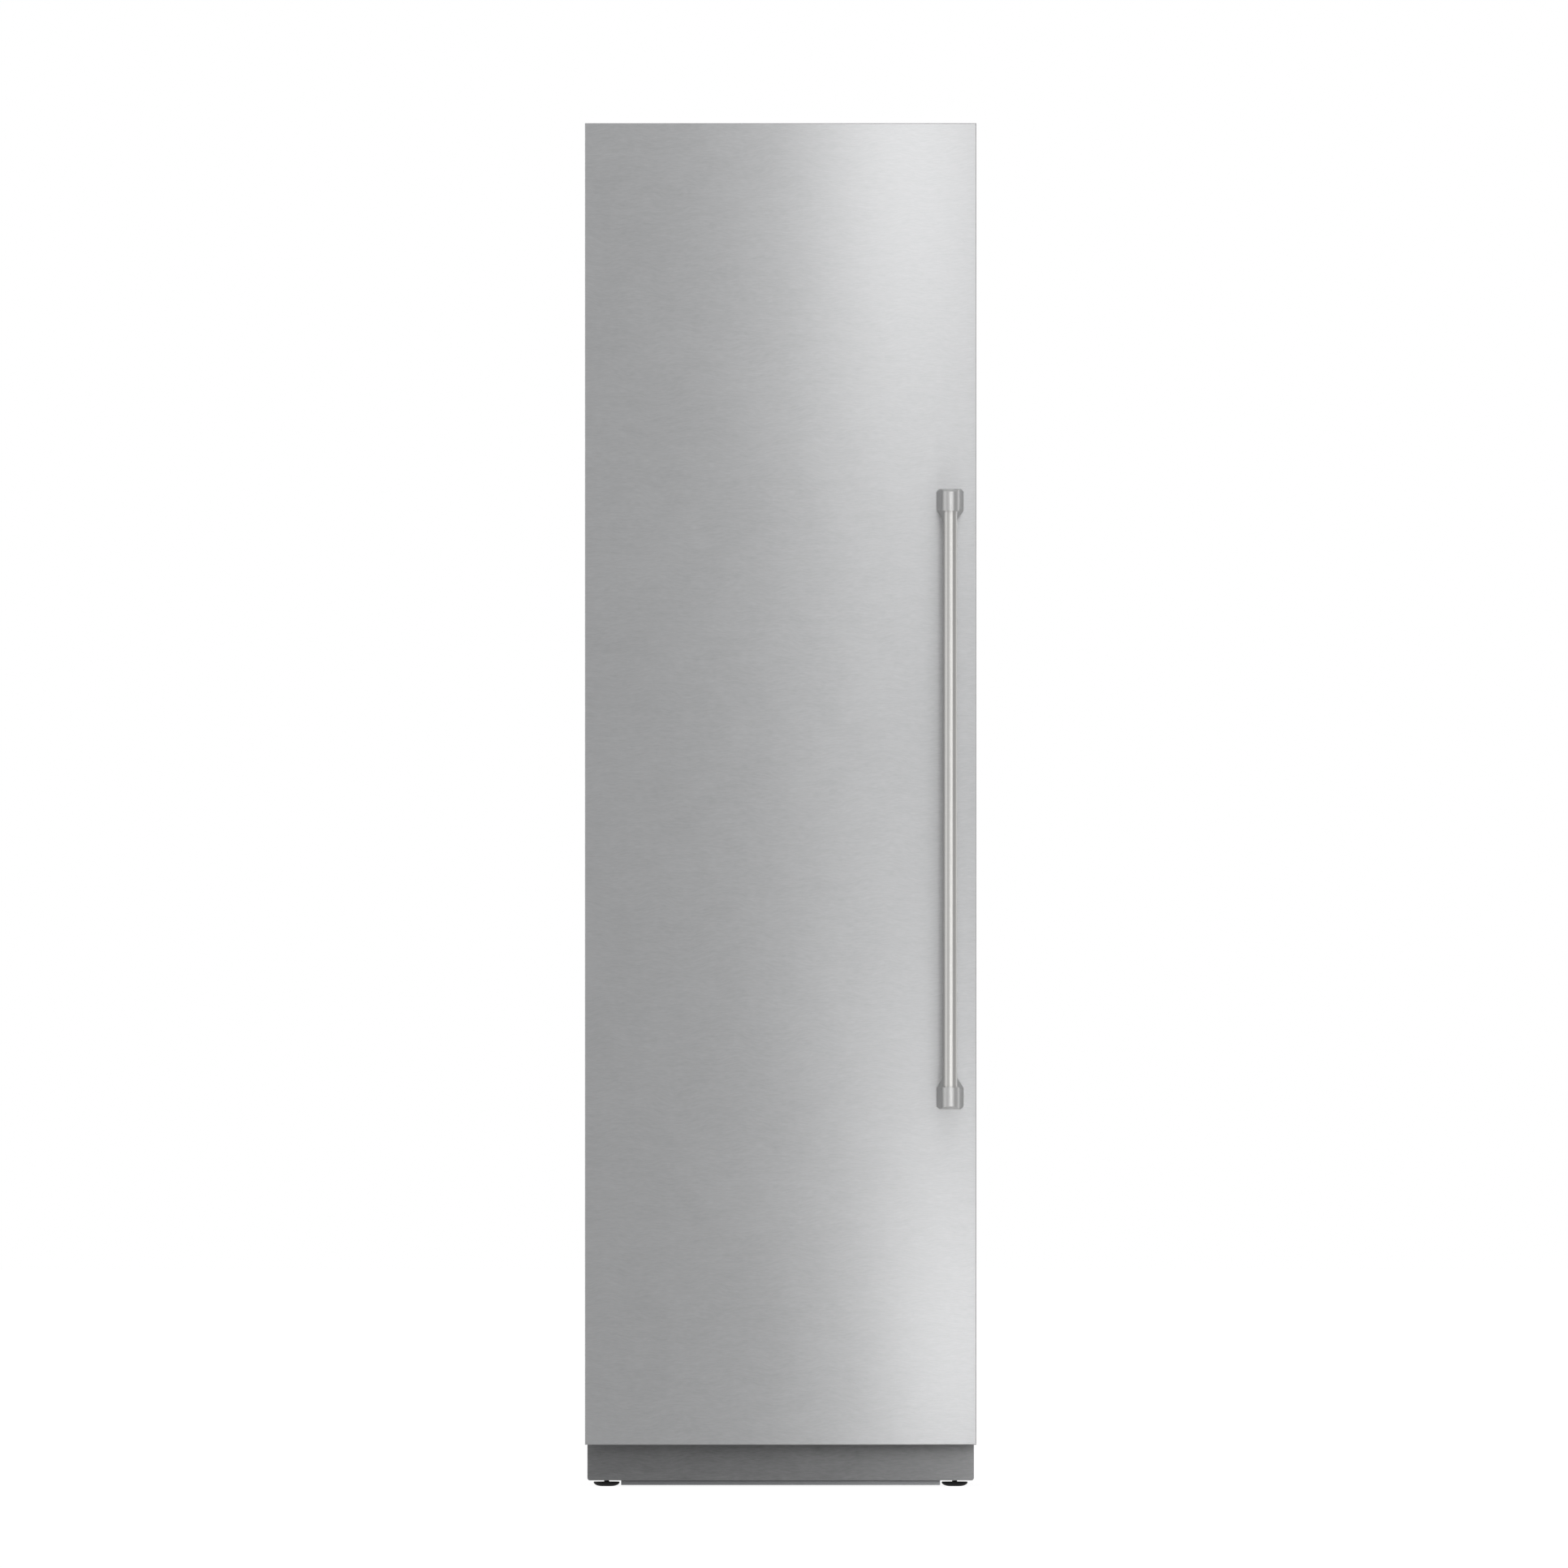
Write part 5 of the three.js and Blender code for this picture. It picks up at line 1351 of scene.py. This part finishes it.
def buildIceArm():
    # the wire arm that feels how full the bin is, folded under the ice maker
    low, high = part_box("ice_maker")
    left, right, front = low.x - iceArm["sideGap"], high.x - iceArm["inset"], low.y + iceArm["inset"]
    z, fold = low.z - iceArm["drop"], high.y - iceArm["fold"]
    across, behind, over = iceArm["root"]
    x, y, root = low.x + across, high.y - behind, low.z + over
    behind, over = iceArm["end"]
    end, tip = high.y - behind, low.z + over
    points = [
        (x, y, root), (left, y, root), (left, fold, z), (left, front, z), (right, front, z),
        (right, end, z), (right, end, tip),
    ]
    finishPiece(addPipe("ice_level_arm", points, iceArm["wire"], iceArm["bend"]), "zinc_steel")


def buildInterior():
    for i in range(1, 5):
        buildShelf(i)
    for i in range(1, 4):
        buildFreezerBin(i)
    buildIceBin()
    buildColdGuard()
    buildFan("evaporator_fan")
    buildColdMotor()
    buildCoil("evaporator_coil")
    buildControls()
    buildCeilingLight()
    buildIceArm()
    print("interior built")


buildInterior()

pot = {
    "radius": 0.075,
    "lift": 0.021,  # of the shell's foot over the compressor's lowest point
    "seam": 0.52,  # its height, as a share of the shell's
    "foot": [(0, -0.001), (0.72, -0.001), (0.9, 0.006), (0.985, 0.022)],  # share of the radius, and height
    "seamStep": [  # inset from the radius, and height from the seam
        (0.0015, -0.012), (0.0015, -0.004), (0, -0.003), (0, 0), (0, 0.003), (0.003, 0.004),
    ],
    "domeStart": 0.03,
    "domeSteps": 12,
    "domePower": 0.55,  # the lower, the fuller the dome
    "plateLift": 0.018,
    "plate": 0.003,
    "plateCorner": 0.012,
    "plateRadius": 0.0006,
    "mountInset": 0.012,
    "terminalRadius": 0.004,
    "terminal": (0.03, 0.006, 0.85),  # half width, stand before the plate, share of the radius at its back
    "terminalLevels": (0.05, 0.115),  # of its foot and top, over the shell's foot
    "mount": [  # radius and height
        (0, 0), (0.011, 0), (0.012, 0.002), (0.012, 0.006), (0.0085, 0.008), (0.0085, 0.011),
        (0.012, 0.013), (0.012, 0.0175), (0, 0.0175),
    ],
    "bolt": [(0, 0.021), (0.006, 0.021), (0.006, 0.0225), (0.0045, 0.0225), (0.0045, 0.027), (0, 0.0275)],
}


def buildCompressor():
    # a drawn steel pot with a welded seam, on a plate with four rubber mounts
    low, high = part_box("compressor")
    x, y, _ = middleOf(low, high)
    radius, base = pot["radius"], low.z + pot["lift"]
    seam = base + (high.z - base) * pot["seam"]
    profile = [(radius * share, base + up) for share, up in pot["foot"]]
    profile += [(radius - inset, seam + up) for inset, up in pot["seamStep"]]
    shoulder, dome = profile[-1][0], seam + pot["domeStart"]
    for step in range(pot["domeSteps"]):
        angle = quarter * step / pot["domeSteps"]
        out = shoulder * math.cos(angle) ** pot["domePower"]
        profile.append((out, dome + (high.z - dome) * math.sin(angle)))
    profile.append((0, high.z))
    shell = smoothed(addTurned("compressor_shell", profile, (x, y, 0), steps=96), 40)
    plateZ = low.z + pot["plateLift"]
    plate = addBlock("plate", (low.x, low.y, plateZ), (high.x, high.y, plateZ + pot["plate"]))
    bevelWhere(plate, runsAlong("Z", pot["plate"] / 2), pot["plateCorner"], 6)
    inset = pot["mountInset"]
    mounts = []
    for mountX in (low.x + inset, high.x - inset):
        for mountY in (low.y + inset, high.y - inset):
            spot = (mountX, mountY, low.z)
            mounts.append(smoothed(addTurned("mount", pot["mount"], spot, steps=32), 40))
            mounts.append(smoothed(addTurned("bolt", pot["bolt"], spot, steps=6), 20))
    half, before, share = pot["terminal"]
    bottom, top = (base + level for level in pot["terminalLevels"])
    box = addBlock("terminal", (x - half, low.y - before, bottom), (x + half, y - radius * share, top))
    rounded(box, pot["terminalRadius"], 4)
    rounded(plate, pot["plateRadius"])
    finishPiece(joined("compressor_pot", [shell, plate, box]), "black_paint", "compressor")
    finishPiece(joined("compressor_mounts", mounts), "black_rubber")


pipes = {
    "bend": 0.015,
    "standout": 0.03,  # from the pot to the riser
    "level": 0.101,  # of the pot's stubs, over its lowest point
    "hotRadius": 0.0035,
    "coldRadius": 0.005,
    "collar": 0.0012,
    "collarLength": 0.009,
    "collarBevel": 0.0005,
    "sleeve": 0.005,
    "sleeveEnds": (0.03, 0.012),  # the bare lengths below and above it
}


def buildPipes():
    # the same runs as the CAD's pipes, with round sections, a brazed collar and a sleeve
    low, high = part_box("discharge_pipe")
    r = pipes["hotRadius"]
    y = (low.y + high.y) / 2
    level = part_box("compressor")[0].z + pipes["level"]
    left, riser, top = low.x + r, high.x - pipes["standout"], high.z - r
    points = [(high.x, y, level), (riser, y, level), (riser, y, top), (left, y, top), (left, y, low.z)]
    hot = addPipe("discharge_tube", points, r, pipes["bend"], 8)
    wide, tall = r + pipes["collar"], pipes["collarLength"]
    ring = [(r, 0), (wide, 0), (wide, tall), (r, tall + pipes["collarBevel"]), (r, 0)]
    collar = smoothed(addTurned("collar", ring, (left, y, low.z), steps=24), 40)
    finishPiece(joined("discharge_tube", [hot, collar]), "copper", "discharge_pipe")
    low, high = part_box("suction_pipe")
    r, riser = pipes["coldRadius"], low.x + pipes["standout"]
    points = [(low.x, y, level), (riser, y, level), (riser, y, high.z)]
    cold = addPipe("suction_tube", points, r, pipes["bend"], 8)
    # black foam round the rising part, against dew
    bottom, top = level + pipes["sleeveEnds"][0], high.z - pipes["sleeveEnds"][1]
    ends = [(riser, y, bottom), (riser, y, top)]
    sleeve = addPipe("suction_sleeve", ends, r + pipes["sleeve"], pipes["bend"])
    finishPiece(cold, "copper", "suction_pipe")
    finishPiece(sleeve, "black_rubber")


inlets = {
    "pinSpots": [(-0.007, -0.003), (0, 0.004), (0.007, -0.003)],
    "pinRoot": 0.019,  # behind the socket's rim
    "pinSize": (0.001, 0.014, 0.002),  # half width, length and half height
    "pinRadius": 0.0004,
    "nippleBore": 0.005,
    "nippleRadius": 0.0098,
    "nippleLength": 0.02,
    "nippleEnd": ((0.0192, 0.0), (0.0199, 0.0006)),  # height and inset of the chamfer's two edges
    "threadStart": 0.002,
    "threadTop": 0.0105,
    "threadPitch": 0.0018,
    "threads": 9,
}


def buildInlets():
    # three flat pins in the power inlet's recess, and a brass nipple on the water valve
    low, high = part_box("power_inlet")
    x, _, z = middleOf(low, high)
    back = high.y - inlets["pinRoot"]
    half, length, up = inlets["pinSize"]
    pins = []
    for dx, dz in inlets["pinSpots"]:
        pin = addBlock("pin", (x + dx - half, back, z + dz - up), (x + dx + half, back + length, z + dz + up))
        pins.append(rounded(pin, inlets["pinRadius"]))
    finishPiece(joined("power_inlet_pins", pins), "zinc_steel")
    low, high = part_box("water_valve")
    x, _, z = middleOf(low, high)
    bore, root = inlets["nippleBore"], inlets["nippleRadius"]
    profile = [(bore, 0), (root, 0)]
    for turn in range(inlets["threads"]):
        at = inlets["threadStart"] + turn * inlets["threadPitch"]
        profile += [(root, at), (inlets["threadTop"], at + inlets["threadPitch"] / 2)]
    profile += [(root - inset, at) for at, inset in inlets["nippleEnd"]]
    profile += [(bore, profile[-1][1]), (bore, 0)]
    nipple = addTurned("water_nipple", profile, (x, high.y - inlets["nippleLength"], z), "Y", 48)
    finishPiece(smoothed(nipple, 28), "copper", look="brass")


def buildMachine():
    buildCompressor()
    buildCoil("condenser_coil")
    buildFan("condenser_fan")
    buildPipes()
    buildInlets()
    print("machine space built")


buildMachine()

# nodes that stay as the CAD has them get the finish of their slot
keptNodes = {"cabinet_foam": "foam"}
for node, slot in keptNodes.items():
    for place in nodes[node].material_slots:
        place.material = looks[slot]
